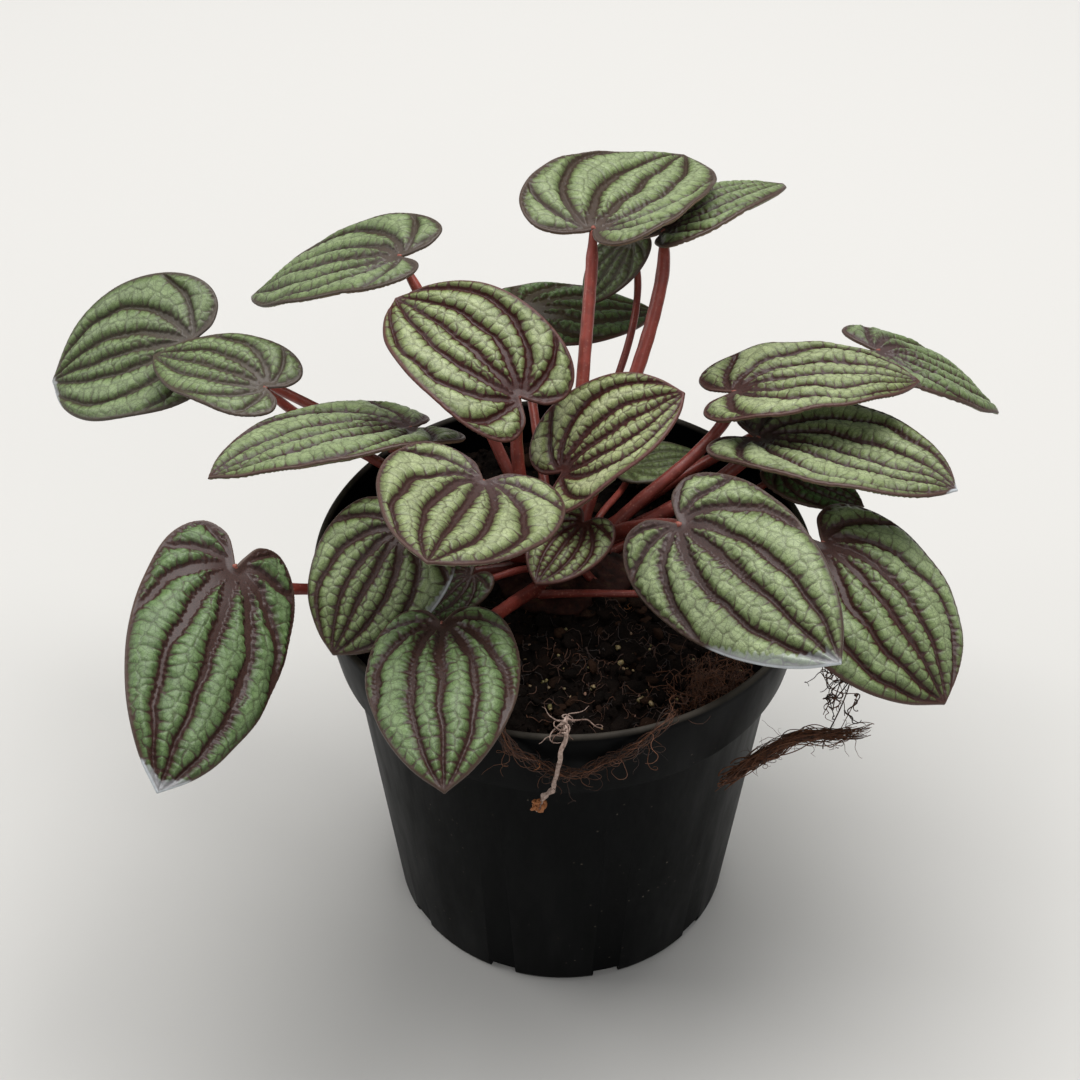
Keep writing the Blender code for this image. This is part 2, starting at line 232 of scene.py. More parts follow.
def add_piece(name, points, faces, mats, smooth=True):
    """A mesh piece on the root body; faces is an array of triangles or a list of polygons."""
    mesh = bpy.data.meshes.new(name)
    if isinstance(faces, np.ndarray):
        mesh.vertices.add(len(points))
        mesh.vertices.foreach_set("co", np.asarray(points, np.float32).ravel())
        mesh.loops.add(faces.size)
        mesh.loops.foreach_set("vertex_index", faces.astype(np.int32).ravel())
        mesh.polygons.add(len(faces))
        starts = np.arange(0, faces.size, faces.shape[1], dtype=np.int32)
        mesh.polygons.foreach_set("loop_start", starts)
    else:
        mesh.from_pydata([tuple(p) for p in points], [], faces)
    mesh.update(calc_edges=True)
    mesh.validate()
    if smooth:
        mesh.shade_smooth()
    for mat in mats:
        mesh.materials.append(mat)
    piece = bpy.data.objects.new(name, mesh)
    bpy.context.scene.collection.objects.link(piece)
    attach(piece, "root")
    return piece


def store(mesh, name, values):
    """Keeps rows of three numbers on the mesh's points, for the material to read."""
    layer = mesh.attributes.new(name, "FLOAT_VECTOR", "POINT")
    layer.data.foreach_set("vector", np.asarray(values, np.float32).ravel())


def corners(name):
    """A CAD node's corners, without repeats, and the edges between them."""
    shape = bmesh.new()
    shape.from_mesh(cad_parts[name].data)
    bmesh.ops.remove_doubles(shape, verts=shape.verts, dist=1e-6)
    shape.verts.index_update()
    points = np.array([v.co for v in shape.verts])
    edges = np.array([[v.index for v in edge.verts] for edge in shape.edges])
    shape.free()
    return points, edges


CROWN_MIDDLE = np.array((sum(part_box("crown"), Vector()) / 2.0))


def centre_line(name, groups):
    """Points down the middle of a CAD strand, from the end nearest the crown to its far end."""
    points, _ = corners(name)
    far = points[np.argmax(np.linalg.norm(points - CROWN_MIDDLE, axis=1))]
    near = points[np.argmax(np.linalg.norm(points - far, axis=1))]
    order = np.argsort((points - near) @ (far - near))
    return np.array([points[part].mean(axis=0) for part in np.array_split(order, groups)])


# ---- leaves -----------------------------------------------------------------------------------
class Blade:
    """A leaf blade measured from its CAD node: its own axes, curved middle surface and outline."""

    def __init__(self, name):
        points, edges = corners(name)
        stalk_end = centre_line(name.replace("leaf", "petiole"), 9)[-1]
        flat = np.linalg.svd(points - points.mean(axis=0), full_matrices=False)[2][2]
        spans = points[edges[:, 1]] - points[edges[:, 0]]
        lengths = np.linalg.norm(spans, axis=1)
        across = np.abs(spans @ flat) / lengths
        rim = points[edges[(lengths < 1.3 * MM) & (across > 0.6)]].mean(axis=1)
        self.base = rim[np.argmin(np.linalg.norm(rim - stalk_end, axis=1))]
        tip = rim[np.argmax(np.linalg.norm(rim - self.base, axis=1))]
        self.length = float(np.linalg.norm(tip - self.base))
        along = (tip - self.base) / self.length
        up = unit(flat - along * (flat @ along))
        up *= np.sign(up @ (self.base - stalk_end))
        self.axes = np.array((along, np.cross(up, along), up))
        local = (points - self.base) @ self.axes.T
        self.shape = np.linalg.lstsq(self.powers(local[:, :2]), local[:, 2], rcond=None)[0]
        self.outline = self.smooth_outline((rim - self.base) @ self.axes.T[:, :2])

    def powers(self, plane):
        x, y = (plane / self.length).T
        return np.stack([x ** i * y ** j for i in range(5) for j in range(5 - i)], axis=1)

    def smooth_outline(self, rim):
        """Runs a smooth curve through the rim's corners, down one side to the tip and back."""
        heart = np.array((0.3 * self.length, 0.0))
        turn = np.arctan2(*(rim - heart).T[::-1])
        ring = rim[np.argsort(turn)]
        ring = np.roll(ring, -int(np.argmin(np.linalg.norm(ring, axis=1))), axis=0)
        tip = int(np.argmax(np.linalg.norm(ring, axis=1)))
        halves = (ring[:tip + 1], np.vstack((ring[tip:], ring[:1])))
        return np.vstack([run_through(half, 40)[:-1] for half in halves])

    def lift(self, plane, rise):
        """Places points of the flat blade in space, rise above its curved middle surface."""
        step = 0.1 * MM
        height = self.powers(plane) @ self.shape
        slope_x = (self.powers(plane + (step, 0.0)) @ self.shape - height) / step
        slope_y = (self.powers(plane + (0.0, step)) @ self.shape - height) / step
        normal = unit(np.stack((-slope_x, -slope_y, np.ones(len(plane))), axis=1))
        local = np.column_stack((plane, height)) + normal * rise[:, None]
        return self.base + local @ self.axes


def run_through(points, steps):
    """A smooth curve through every point, with steps pieces between each two."""
    padded = np.vstack((2 * points[0] - points[1], points, 2 * points[-1] - points[-2]))
    t = np.linspace(0.0, 1.0, steps, endpoint=False)[:, None]
    runs = []
    for a, b, c, d in zip(padded, padded[1:], padded[2:], padded[3:]):
        runs.append(0.5 * (2 * b + (c - a) * t + (2 * a - 5 * b + 4 * c - d) * t ** 2
                           + (3 * b - a - 3 * c + d) * t ** 3))
    return np.vstack(runs + [points[-1:]])


def even_steps(path, step, closed=False):
    """The same path with its points step apart."""
    if closed:
        path = np.vstack((path, path[:1]))
    reach = np.concatenate(([0.0], np.cumsum(np.linalg.norm(np.diff(path, axis=0), axis=1))))
    count = max(int(round(reach[-1] / step)), 4)
    at = np.linspace(0.0, reach[-1], count + 1)
    even = np.stack([np.interp(at, reach, column) for column in path.T], axis=1)
    return even[:-1] if closed else even


def edge_distance(plane, outline):
    """Distance from each point to the outline, and whether the point is inside it."""
    a, b = outline, np.roll(outline, -1, axis=0)
    nearest = np.full(len(plane), np.inf)
    inside = np.zeros(len(plane), bool)
    for p, q in zip(a, b):
        run = q - p
        share = np.clip((plane - p) @ run / (run @ run), 0.0, 1.0)
        nearest = np.minimum(nearest, ((plane - p - share[:, None] * run) ** 2).sum(axis=1))
        if p[1] != q[1]:
            crosses = (plane[:, 1] < p[1]) != (plane[:, 1] < q[1])
            inside ^= crosses & (plane[:, 0] < p[0] + (plane[:, 1] - p[1]) * run[0] / run[1])
    return np.sqrt(nearest), inside


# Directions in which the main veins leave the stalk, in degrees from the midrib, and how wide each is.
MAIN_VEINS = ((0.0, 1.0), (34.0, 1.0), (68.0, 0.9), (104.0, 0.7), (140.0, 0.45))
TIP_PULL = 1.12            # above 1, the side veins keep further out before they close on the tip
GOLDEN_SHARE = 0.618034    # spreads the cells' numbers evenly between 0 and 1
USUAL_LENGTH = 45.0 * MM   # the leaf that the vein and cell sizes are given for


class Venation:
    """The pattern of main veins, and of the cells between fine veins, drawn on a flat blade."""

    def __init__(self, length, cell, breadth, seed, samples):
        rng = np.random.default_rng(seed)
        self.length, self.breadth, self.seed = length, breadth, seed
        self.scale = (length / USUAL_LENGTH) ** 0.8
        angles = [0.0]
        widths = [MAIN_VEINS[0][1]]
        for side in (-1.0, 1.0):
            for angle, width in MAIN_VEINS[1:]:
                angles.append(side * (angle + rng.uniform(-3.0, 3.0)))
                widths.append(width)
        order = np.argsort(angles)
        self.angles = np.radians(np.array(angles)[order])
        self.widths = np.array(widths)[order]
        self.place_cells(cell * self.scale ** 0.6, rng, samples)

    def sweep(self, plane):
        """Which way each point lies, as the angle of the arc from stalk to tip that runs through it."""
        x, y = plane.T
        far = self.length - x
        near2 = np.maximum(x * x + y * y, 1e-12)
        far2 = np.maximum(far * far + y * y, 1e-12)
        angle = np.arctan2(y, x) + TIP_PULL * np.arctan2(y, far)
        angle += math.radians(2.2) * waves(plane, 11.0 * MM, self.seed)
        slope = np.hypot(TIP_PULL * y / far2 - y / near2, x / near2 + TIP_PULL * far / far2)
        share = np.sqrt(near2) / (np.sqrt(near2) + np.sqrt(far2))
        return angle, np.maximum(slope, 1e-3), share

    def place_cells(self, cell, rng, samples):
        """Seeds two staggered rows of cells in each wide panel and one in each narrow panel."""
        angle, slope, share = self.sweep(samples)
        bounds = np.concatenate(([-np.pi * 1.2], self.angles, [np.pi * 1.2]))
        seeds, panels = [], []
        for k, (low, high) in enumerate(zip(bounds, bounds[1:])):
            here = np.flatnonzero((angle > low) & (angle < high))
            if len(here) < 12:
                continue
            top = min(high, angle[here].max())
            bottom = max(low, angle[here].min())
            width = (top - bottom) / slope[here]
            for row_share in (0.27, 0.73):
                wanted = bottom + (top - bottom) * row_share
                along = rng.uniform(0.0, 0.6) * cell
                while along < self.length * 1.05:
                    miss = (((angle[here] - wanted) / slope[here]) ** 2
                            + (share[here] * self.length - along) ** 2)
                    best = int(np.argmin(miss))
                    if miss[best] < (0.8 * cell) ** 2:
                        narrow = width[best] < 1.7 * cell
                        if not (narrow and row_share > 0.5):
                            spot = samples[here[best]] + rng.normal(size=2) * 0.16 * cell
                            seeds.append(spot)
                            panels.append(k)
                    along += cell * rng.uniform(0.72, 1.15)
        self.seeds, self.panels = np.array(seeds), np.array(panels)
        self.strength = rng.uniform(0.0, 1.0, (len(seeds), len(seeds)))

    def read(self, plane):
        """At each point: quilt and vein, both in mm out of the dark lines, its cell's number and share."""
        angle, slope, share = self.sweep(plane)
        gap = np.abs(angle[:, None] - self.angles) / slope[:, None]
        half_band = (0.24 + 0.95 * (1.0 - share) ** 1.1)[:, None] * self.widths
        half_band *= self.scale * self.breadth * MM
        uneven = 0.2 * waves(plane, 5.0 * MM, self.seed + 1) + 0.24 * waves(plane, 1.5 * MM, self.seed + 4)
        half_band *= (1.0 + uneven)[:, None]
        vein = (gap - half_band).min(axis=1)
        panel = np.searchsorted(self.angles, angle)

        warp = np.stack([waves(plane, 3.2 * MM, self.seed + 2 + i) for i in (0, 1)], axis=1)
        spots = plane + warp * 0.3 * MM * self.scale
        first = np.empty(len(plane), int)
        border = np.empty(len(plane))
        strong = np.empty(len(plane))
        for k in np.unique(panel):
            here = np.flatnonzero(panel == k)
            pool = np.flatnonzero(self.panels == k)
            if len(pool) < 2:
                first[here], border[here], strong[here] = 0, 9.0 * MM, 0.0
                continue
            seeds = self.seeds[pool]
            square = ((spots[here, None, :] - seeds) ** 2).sum(axis=2)
            own = square.argmin(axis=1)
            apart = np.linalg.norm(seeds[own][:, None, :] - seeds, axis=2)
            apart[np.arange(len(here)), own] = np.inf
            reach = (square - square[np.arange(len(here)), own][:, None]) / (2.0 * apart)
            reach[np.arange(len(here)), own] = np.inf
            other = reach.argmin(axis=1)
            a, b = np.minimum(pool[own], pool[other]), np.maximum(pool[own], pool[other])
            first[here] = pool[own]
            border[here] = reach[np.arange(len(here)), other]
            strong[here] = self.strength[a, b]
        half_line = (0.04 + 0.15 * strong ** 2) * (0.3 + 2.3 * np.exp(-np.maximum(vein, 0) / (0.75 * MM)))
        net = border - half_line * MM
        quilt = soft_min(vein, 1.25 * net, 0.15 * MM)
        return quilt / MM, vein / MM, (first * GOLDEN_SHARE) % 1.0, share


def blade_fields(blade, venation, plane, settings, number):
    """What the mesh and the material need at each point of a flat blade."""
    quilt, vein, cell, share = venation.read(plane)
    edge, _ = edge_distance(plane, blade.outline)
    edge /= MM
    reach = np.linalg.norm(plane, axis=1) / MM
    scale = venation.scale
    # The vein colour runs out into a margin, broad round the lobes and narrow beside the tip.
    margin = (0.3 + 1.1 * (1.0 - share) ** 2) * scale * (1.0 + 0.35 * waves(plane, 1.7 * MM, number + 40))
    vein = soft_min(vein, edge - margin, 0.3)
    quilt = soft_min(quilt, edge - margin, 0.15)
    panel = 1.0 - np.exp(-np.maximum(vein + 0.4 * scale, 0.0) / (1.2 * scale))
    pillow = 1.0 - np.exp(-np.maximum(quilt, 0.0) / 0.3)
    rim = smooth_step(edge, 0.0, 2.2)
    height = settings.groove * scale * (panel - 0.5) * (0.25 + 0.75 * rim)
    height += settings.pucker * (pillow - 0.5) * rim
    height -= 0.7 * MM * scale * np.exp(-(reach / (4.5 * scale)) ** 2)
    height += 0.35 * MM * waves(plane, 16.0 * MM, number + 70) * smooth_step(reach, 0.0, 12.0)
    silver = np.zeros(len(plane))
    if number in SILVER_MARGINS:
        side, start, end, width = SILVER_MARGINS[number]
        reached = (plane[:, 0] / blade.length - start) / (1.0 - start)
        ragged = 1.0 + 0.3 * waves(plane, 1.6 * MM, number)
        on_side = smooth_step(side * plane[:, 1] / MM + (9.0 if side == 0 else 1.0), 0.0, 1.0)
        strip = width * (0.25 + 0.75 * np.clip(reached, 0.0, 1.0)) * ragged
        silver = smooth_step(strip - edge, 0.0, 0.5) * smooth_step(reached, 0.0, 0.15) * on_side
        silver *= smooth_step(end - plane[:, 0] / blade.length, 0.0, 0.1)
    return {"quilt": quilt, "vein": vein, "edge": edge, "reach": reach, "cell": cell,
            "height": height, "silver": silver}


def fill_outline(outline, step):
    """Triangles over the inside of an outline; the outline's own points come first."""
    low, high = outline.min(axis=0), outline.max(axis=0)
    row = step * 3 ** 0.5 / 2.0
    ys = np.arange(low[1], high[1], row)
    xs = np.arange(low[0], high[0], step)
    grid = np.array([(x + 0.5 * step * (j % 2), y) for j, y in enumerate(ys) for x in xs])
    away, inside = edge_distance(grid, outline)
    grid = grid[inside & (away > 0.6 * step)]
    points = np.vstack((outline, grid))
    count = len(outline)
    ring = [(i, (i + 1) % count) for i in range(count)]
    made = delaunay_2d_cdt([Vector(p) * 1000.0 for p in points], ring, [], 1, 1e-6)
    if len(made[0]) != len(points):
        raise RuntimeError("the blade's outline crosses itself")
    return points, np.array(made[2])


def make_leaf(name, settings, mats):
    number = int(name[-2:])
    blade = Blade(name)
    step = settings.mesh_step * 1.0
    outline = even_steps(blade.outline, max(step * 1.3, 0.36 * MM), closed=True)
    blade.outline = outline
    top, top_faces = fill_outline(outline, step)
    under, under_faces = fill_outline(outline, 2.2 * step)
    breadth = VEIN_BREADTH.get(number, 1.0)
    venation = Venation(blade.length, settings.cell, breadth, number * 11, top)

    count = len(outline)
    points, looks = [], []
    for plane, side in ((top, 1.0), (under, -1.0)):
        look = blade_fields(blade, venation, plane, settings, number)
        round_off = np.clip(look["edge"] / 0.55, 0.0, 1.0)
        half = settings.thickness / 2.0 * np.sqrt(1.0 - (1.0 - round_off) ** 2)
        points.append(blade.lift(plane, look["height"] + side * half))
        looks.append(look)
    shared = np.arange(len(under))
    shared[count:] += len(top) - count
    faces = np.vstack((top_faces, shared[under_faces][:, ::-1]))
    places = np.vstack((points[0], points[1][count:]))
    leaf = add_piece(name.replace("leaf", "leaf_blade"), places, faces, mats)
    leaf.data.polygons.foreach_set(
        "material_index", np.repeat((0, 1), (len(top_faces), len(under_faces))).astype(np.int32))

    both = {key: np.concatenate((looks[0][key], looks[1][key][count:])) for key in looks[0]}
    inked = np.full(len(places), VEIN_DARKNESS.get(number, 1.0))
    store(leaf.data, "lines", np.stack((both["quilt"], both["vein"], inked), axis=1))
    store(leaf.data, "spots", np.stack((both["edge"], both["reach"], both["cell"]), axis=1))
    store(leaf.data, "tone", np.broadcast_to(LEAF_TONES[number], (len(places), 3)))
    store(leaf.data, "film", both["silver"][:, None] * (1.0, 1.0, 1.0))
    flat = np.vstack((top, under[count:]))
    lay_flat(leaf.data, flat, len(top_faces))
    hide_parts(name)
    return leaf


def lay_flat(mesh, plane, top_faces):
    """A flat map of the blade: its upper side fills one half and its underside the other."""
    low, size = plane.min(axis=0), np.ptp(plane, axis=0)
    loops = np.empty(len(mesh.loops), np.int32)
    mesh.loops.foreach_get("vertex_index", loops)
    spots = (plane[loops] - low) / size * (0.96, 0.48) + (0.02, 0.01)
    spots[top_faces * 3:, 1] += 0.5
    layer = mesh.uv_layers.new(name="OFBake")
    layer.data.foreach_set("uv", spots.astype(np.float32).ravel())


def leaf_material(settings):
    """Living leaf, grown: waxy quilted skin. Satin light on light panels, dark veins in the grooves."""
    mat, tree = new_material("living_leaf_quilted_wax")
    place = add(tree, "ShaderNodeTexCoord")
    stored = [add(tree, "ShaderNodeAttribute", attribute_name=name) for name in ("lines", "spots", "tone")]
    line, spot, age = [add(tree, "ShaderNodeSeparateXYZ", {"Vector": kept.outputs["Vector"]})
                       for kept in stored]
    skin = add(tree, "ShaderNodeAttribute", attribute_name="film")

    # Fine skin cells about 0.4 mm across, fine veinlets about 1.2 mm apart, mottling about 3 mm across.
    cells = add(tree, "ShaderNodeTexVoronoi", {"Vector": place.outputs["Object"], "Scale": 1 / (0.4 * MM)},
                feature="DISTANCE_TO_EDGE")
    wander = add(tree, "ShaderNodeTexNoise",
                 {"Vector": place.outputs["Object"], "Scale": 1 / (1.5 * MM), "Detail": 1.0})
    drift = add(tree, "ShaderNodeVectorMath", {0: wander.outputs["Color"], "Scale": 0.9 * MM},
                operation="SCALE")
    moved = add(tree, "ShaderNodeVectorMath", {0: place.outputs["Object"], 1: drift.outputs[0]},
                operation="ADD")
    veinlets = add(tree, "ShaderNodeTexVoronoi", {"Vector": moved.outputs[0], "Scale": 1 / (1.2 * MM)},
                   feature="DISTANCE_TO_EDGE")
    mottle = add(tree, "ShaderNodeTexNoise",
                 {"Vector": place.outputs["Object"], "Scale": 1 / (3.0 * MM), "Detail": 3.0})
    grain = add(tree, "ShaderNodeTexNoise",
                {"Vector": place.outputs["Object"], "Scale": 1 / (0.25 * MM), "Detail": 2.0})

    green = add(tree, "ShaderNodeMix", {"Factor": age.outputs["X"], "A": (*settings.mature_and_shade, 1.0),
                                        "B": (*settings.fresh, 1.0)}, data_type="RGBA")
    # A panel is palest along its crest, partly from its own paler skin and partly from a painted highlight,
    # and each cell in it differs a little from the next.
    pale = add(tree, "ShaderNodeMapRange", {"Value": line.outputs["Y"], "From Min": 0.3, "From Max": 2.2},
               interpolation_type="SMOOTHSTEP")
    young = add(tree, "ShaderNodeMapRange", {"Value": age.outputs["X"], "To Min": 0.15, "To Max": 0.75})
    pale = add(tree, "ShaderNodeMath", {0: pale.outputs[0], 1: young.outputs[0]}, operation="MULTIPLY")
    crest_highlight_tone = add(tree, "ShaderNodeMix", {"Factor": age.outputs["X"], "A": (*settings.old_crest_highlight, 1.0),
                                             "B": (*settings.crest, 1.0)}, data_type="RGBA")
    paler = add(tree, "ShaderNodeMix", {"Factor": pale.outputs[0], "A": green.outputs["Result"],
                                        "B": crest_highlight_tone.outputs["Result"]}, data_type="RGBA")
    # Painted highlight on the crest of each small pillow, and painted shade in the grooves beside its fine
    # lines.
    crest = add(tree, "ShaderNodeMapRange", {"Value": line.outputs["X"], "From Min": 0.0, "From Max": 0.7,
                                             "To Min": 0.86, "To Max": 1.05},
                interpolation_type="SMOOTHSTEP")
    cell_shade = add(tree, "ShaderNodeMapRange", {"Value": spot.outputs["Z"], "To Min": 0.9, "To Max": 1.1})
    patch = add(tree, "ShaderNodeMapRange", {"Value": mottle.outputs["Fac"], "From Min": 0.3,
                                             "From Max": 0.7, "To Min": 0.86, "To Max": 1.12})
    web = add(tree, "ShaderNodeMapRange", {"Value": cells.outputs["Distance"], "From Min": 0.0,
                                           "From Max": 0.22, "To Min": 0.82, "To Max": 1.03})
    fine = add(tree, "ShaderNodeMapRange", {"Value": veinlets.outputs["Distance"], "From Min": 0.0,
                                            "From Max": 0.085, "To Min": 0.62, "To Max": 1.03},
               interpolation_type="SMOOTHSTEP")
    shade = crest
    for pattern in (cell_shade, patch, web, fine):
        shade = add(tree, "ShaderNodeMath", {0: shade.outputs[0], 1: pattern.outputs[0]},
                    operation="MULTIPLY")
    panel = add(tree, "ShaderNodeVectorMath", {0: paler.outputs["Result"], "Scale": shade.outputs[0]},
                operation="SCALE")

    vein = add(tree, "ShaderNodeMix", {"Factor": age.outputs["Z"], "A": (*settings.vein_grey, 1.0),
                                       "B": (*settings.vein_red, 1.0)}, data_type="RGBA")
    # Pale skin grains about 0.25 mm across stipple the dark veins.
    stipple = add(tree, "ShaderNodeMapRange", {"Value": grain.outputs["Fac"], "From Min": 0.35,
                                               "From Max": 0.68, "To Min": 0.72, "To Max": 1.75})
    stippled = add(tree, "ShaderNodeVectorMath", {0: vein.outputs["Result"], "Scale": stipple.outputs[0]},
                   operation="SCALE")
    # Lines are darkest beside a main vein and fade out over about 2 mm towards a panel's middle.
    dark = add(tree, "ShaderNodeMapRange", {"Value": line.outputs["X"], "From Min": 0.0, "From Max": 0.17,
                                            "To Min": 1.0, "To Max": 0.0}, interpolation_type="SMOOTHSTEP")
    fade = add(tree, "ShaderNodeMapRange", {"Value": line.outputs["Y"], "From Min": 0.2, "From Max": 2.1,
                                            "To Min": 1.0, "To Max": 0.28})
    band = add(tree, "ShaderNodeMath", {0: dark.outputs[0], 1: fade.outputs[0]}, operation="MULTIPLY")
    band = add(tree, "ShaderNodeMath", {0: band.outputs[0], 1: line.outputs["Z"]}, operation="MULTIPLY")
    # The vein's colour also flushes the first millimetre of each panel.
    flush = add(tree, "ShaderNodeMapRange", {"Value": line.outputs["Y"], "From Min": 0.0, "From Max": 1.1,
                                             "To Min": 0.5, "To Max": 0.0}, interpolation_type="SMOOTHSTEP")
    flush = add(tree, "ShaderNodeMath", {0: flush.outputs[0], 1: line.outputs["Z"]}, operation="MULTIPLY")
    flushed = add(tree, "ShaderNodeMix", {"Factor": flush.outputs[0], "A": panel.outputs[0],
                                          "B": stippled.outputs[0]}, data_type="RGBA")
    inked = add(tree, "ShaderNodeMix", {"Factor": band.outputs[0], "A": flushed.outputs["Result"],
                                        "B": stippled.outputs[0]}, data_type="RGBA")

    # The rim is a narrow brown-red line of uneven width.
    rim_width = add(tree, "ShaderNodeMapRange",
                    {"Value": mottle.outputs["Fac"], "To Min": 0.4, "To Max": 1.1})
    rim = add(tree, "ShaderNodeMapRange", {"Value": spot.outputs["X"], "From Min": 0.25,
                                           "From Max": rim_width.outputs[0], "To Min": 1.0, "To Max": 0.0})
    edge_tint = add(tree, "ShaderNodeMix", {"Factor": age.outputs["Z"], "A": (*srgb("#3C3B2E"), 1.0),
                                            "B": (*settings.margin, 1.0)}, data_type="RGBA")
    rimmed = add(tree, "ShaderNodeMix", {"Factor": rim.outputs[0], "A": inked.outputs["Result"],
                                         "B": edge_tint.outputs["Result"]}, data_type="RGBA")

    # A painted silvery sheen lies over the veins near the stalk, and thinly over the whole of an old leaf.
    near = add(tree, "ShaderNodeMapRange", {"Value": spot.outputs["Y"], "From Min": 2.0, "From Max": 14.0,
                                            "To Min": 0.4, "To Max": 0.1})
    painted_sheen = add(tree, "ShaderNodeMath", {0: near.outputs[0], 1: age.outputs["Y"]}, operation="MULTIPLY")
    sheen_patches = add(tree, "ShaderNodeMath", {0: painted_sheen.outputs[0], 1: patch.outputs[0]}, operation="MULTIPLY")
    sheened = add(tree, "ShaderNodeMix", {"Factor": sheen_patches.outputs[0], "A": rimmed.outputs["Result"],
                                         "B": (*settings.painted_sheen, 1.0)}, data_type="RGBA")
    # Where the skin has lifted it is a thin grey film; the brighter line along the leaf's very edge is a
    # painted highlight.
    film_and_edge_highlight = add(tree, "ShaderNodeMapRange", {"Value": spot.outputs["X"], "From Min": 0.2, "From Max": 0.5,
                                              "To Min": 1.1, "To Max": 0.36})
    film_and_highlight_patches = add(tree, "ShaderNodeMath", {0: film_and_edge_highlight.outputs[0], 1: patch.outputs[0]}, operation="MULTIPLY")
    silvered = add(tree, "ShaderNodeMath", {0: skin.outputs["Fac"], 1: film_and_highlight_patches.outputs[0]},
                   operation="MULTIPLY")
    final = add(tree, "ShaderNodeMix", {"Factor": silvered.outputs[0], "A": sheened.outputs["Result"],
                                        "B": (*srgb("#C6CBCE"), 1.0)}, data_type="RGBA")

    rough = add(tree, "ShaderNodeMapRange", {"Value": skin.outputs["Fac"], "To Min": 0.42, "To Max": 0.24})
    swell = add(tree, "ShaderNodeMath", {0: cells.outputs["Distance"], 1: 0.6}, operation="MULTIPLY")
    relief = add(tree, "ShaderNodeMath", {0: swell.outputs[0], 1: grain.outputs["Fac"]}, operation="ADD")
    bump = add(tree, "ShaderNodeBump", {"Strength": 0.35, "Distance": 0.08 * MM,
                                        "Height": relief.outputs[0]})
    shader = add(tree, "ShaderNodeBsdfPrincipled",
                 {"Base Color": final.outputs["Result"], "Roughness": rough.outputs[0], "IOR": 1.45,
                  "Specular IOR Level": 0.36, "Normal": bump.outputs[0]})
    add(tree, "ShaderNodeOutputMaterial", {"Surface": shader.outputs[0]})
    return mat


def underside_material(settings):
    """Living leaf, lower face: paler and duller, with the main veins showing as thin red lines."""
    mat, tree = new_material("living_leaf_underside")
    place = add(tree, "ShaderNodeTexCoord")
    lines = add(tree, "ShaderNodeAttribute", attribute_name="lines")
    line = add(tree, "ShaderNodeSeparateXYZ", {"Vector": lines.outputs["Vector"]})
    mottle = add(tree, "ShaderNodeTexNoise",
                 {"Vector": place.outputs["Object"], "Scale": 1 / (2.0 * MM), "Detail": 4.0})
    deep = tuple(0.6 * c for c in settings.underside)
    pale = add(tree, "ShaderNodeMix", {"Factor": mottle.outputs["Fac"], "A": (*deep, 1.0),
                                       "B": (*settings.underside, 1.0)}, data_type="RGBA")
    thin = add(tree, "ShaderNodeMapRange", {"Value": line.outputs["Y"], "From Min": -0.5, "From Max": 0.1,
                                            "To Min": 0.7, "To Max": 0.0}, interpolation_type="SMOOTHSTEP")
    tint = add(tree, "ShaderNodeMix", {"Factor": thin.outputs[0], "A": pale.outputs["Result"],
                                       "B": (*srgb("#7C4A41"), 1.0)}, data_type="RGBA")
    bump = add(tree, "ShaderNodeBump", {"Strength": 0.3, "Distance": 0.1 * MM,
                                        "Height": mottle.outputs["Fac"]})
    shader = add(tree, "ShaderNodeBsdfPrincipled",
                 {"Base Color": tint.outputs["Result"], "Roughness": 0.55, "IOR": 1.42,
                  "Normal": bump.outputs[0]})
    add(tree, "ShaderNodeOutputMaterial", {"Surface": shader.outputs[0]})
    return mat


class PEPEROMIA_OT_leaves(bpy.types.Operator):
    """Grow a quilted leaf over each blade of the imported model"""
    bl_idname = "peperomia.leaves"
    bl_label = "Leaves"

    def execute(self, context):
        settings = context.scene.peperomia_leaf
        mats = (leaf_material(settings), underside_material(settings))
        for name in BLADES:
            make_leaf(name, settings, mats)
        return {"FINISHED"}


# ---- swept strands ------------------------------------------------------------------------------
def strand(path, radii, sides, ribs=0.0, rib_count=5, seed=0):
    """Points and faces of a closed rod swept along a path; ribs roughens it by that share of its radius."""
    ahead = unit(np.gradient(path, axis=0))
    side = np.cross(ahead[0], (0.3, 0.5, 0.81))
    across, points = [], []
    for way in ahead:
        side = side - way * (side @ way)
        side = side / np.linalg.norm(side)
        across.append(side)
    turn = np.linspace(0.0, 2.0 * np.pi, sides, endpoint=False)
    for k, (spot, way, side, radius) in enumerate(zip(path, ahead, across, radii)):
        over = np.cross(way, side)
        swell = 1.0 + ribs * np.sin(rib_count * turn + 0.11 * k + seed)
        ring = np.outer(np.cos(turn) * swell, side) + np.outer(np.sin(turn) * swell, over)
        points.append(spot + radius * ring)
    points = np.vstack(points + [path[:1], path[-1:]])
    k = np.arange(len(path) - 1)[:, None] * sides
    i = np.arange(sides)[None, :]
    j = (i + 1) % sides
    quads = np.stack((k + i, k + j, k + sides + j, k + sides + i), axis=2).reshape(-1, 4)
    faces = np.vstack((quads[:, (0, 1, 2)], quads[:, (0, 2, 3)]))
    first, last = len(points) - 2, len(points) - 1
    end = (len(path) - 1) * sides
    caps = [(first, (q + 1) % sides, q) for q in range(sides)]
    caps += [(last, end + q, end + (q + 1) % sides) for q in range(sides)]
    return points, np.vstack((faces, caps))


def gather(parts):
    """Joins (points, faces, look) parts; look is three numbers kept for the material at every point."""
    points, faces, looks, start = [], [], [], 0
    for part_points, part_faces, look in parts:
        points.append(part_points)
        faces.append(part_faces + start)
        looks.append(np.broadcast_to(look, (len(part_points), 3)))
        start += len(part_points)
    return np.vstack(points), np.vstack(faces), np.vstack(looks)


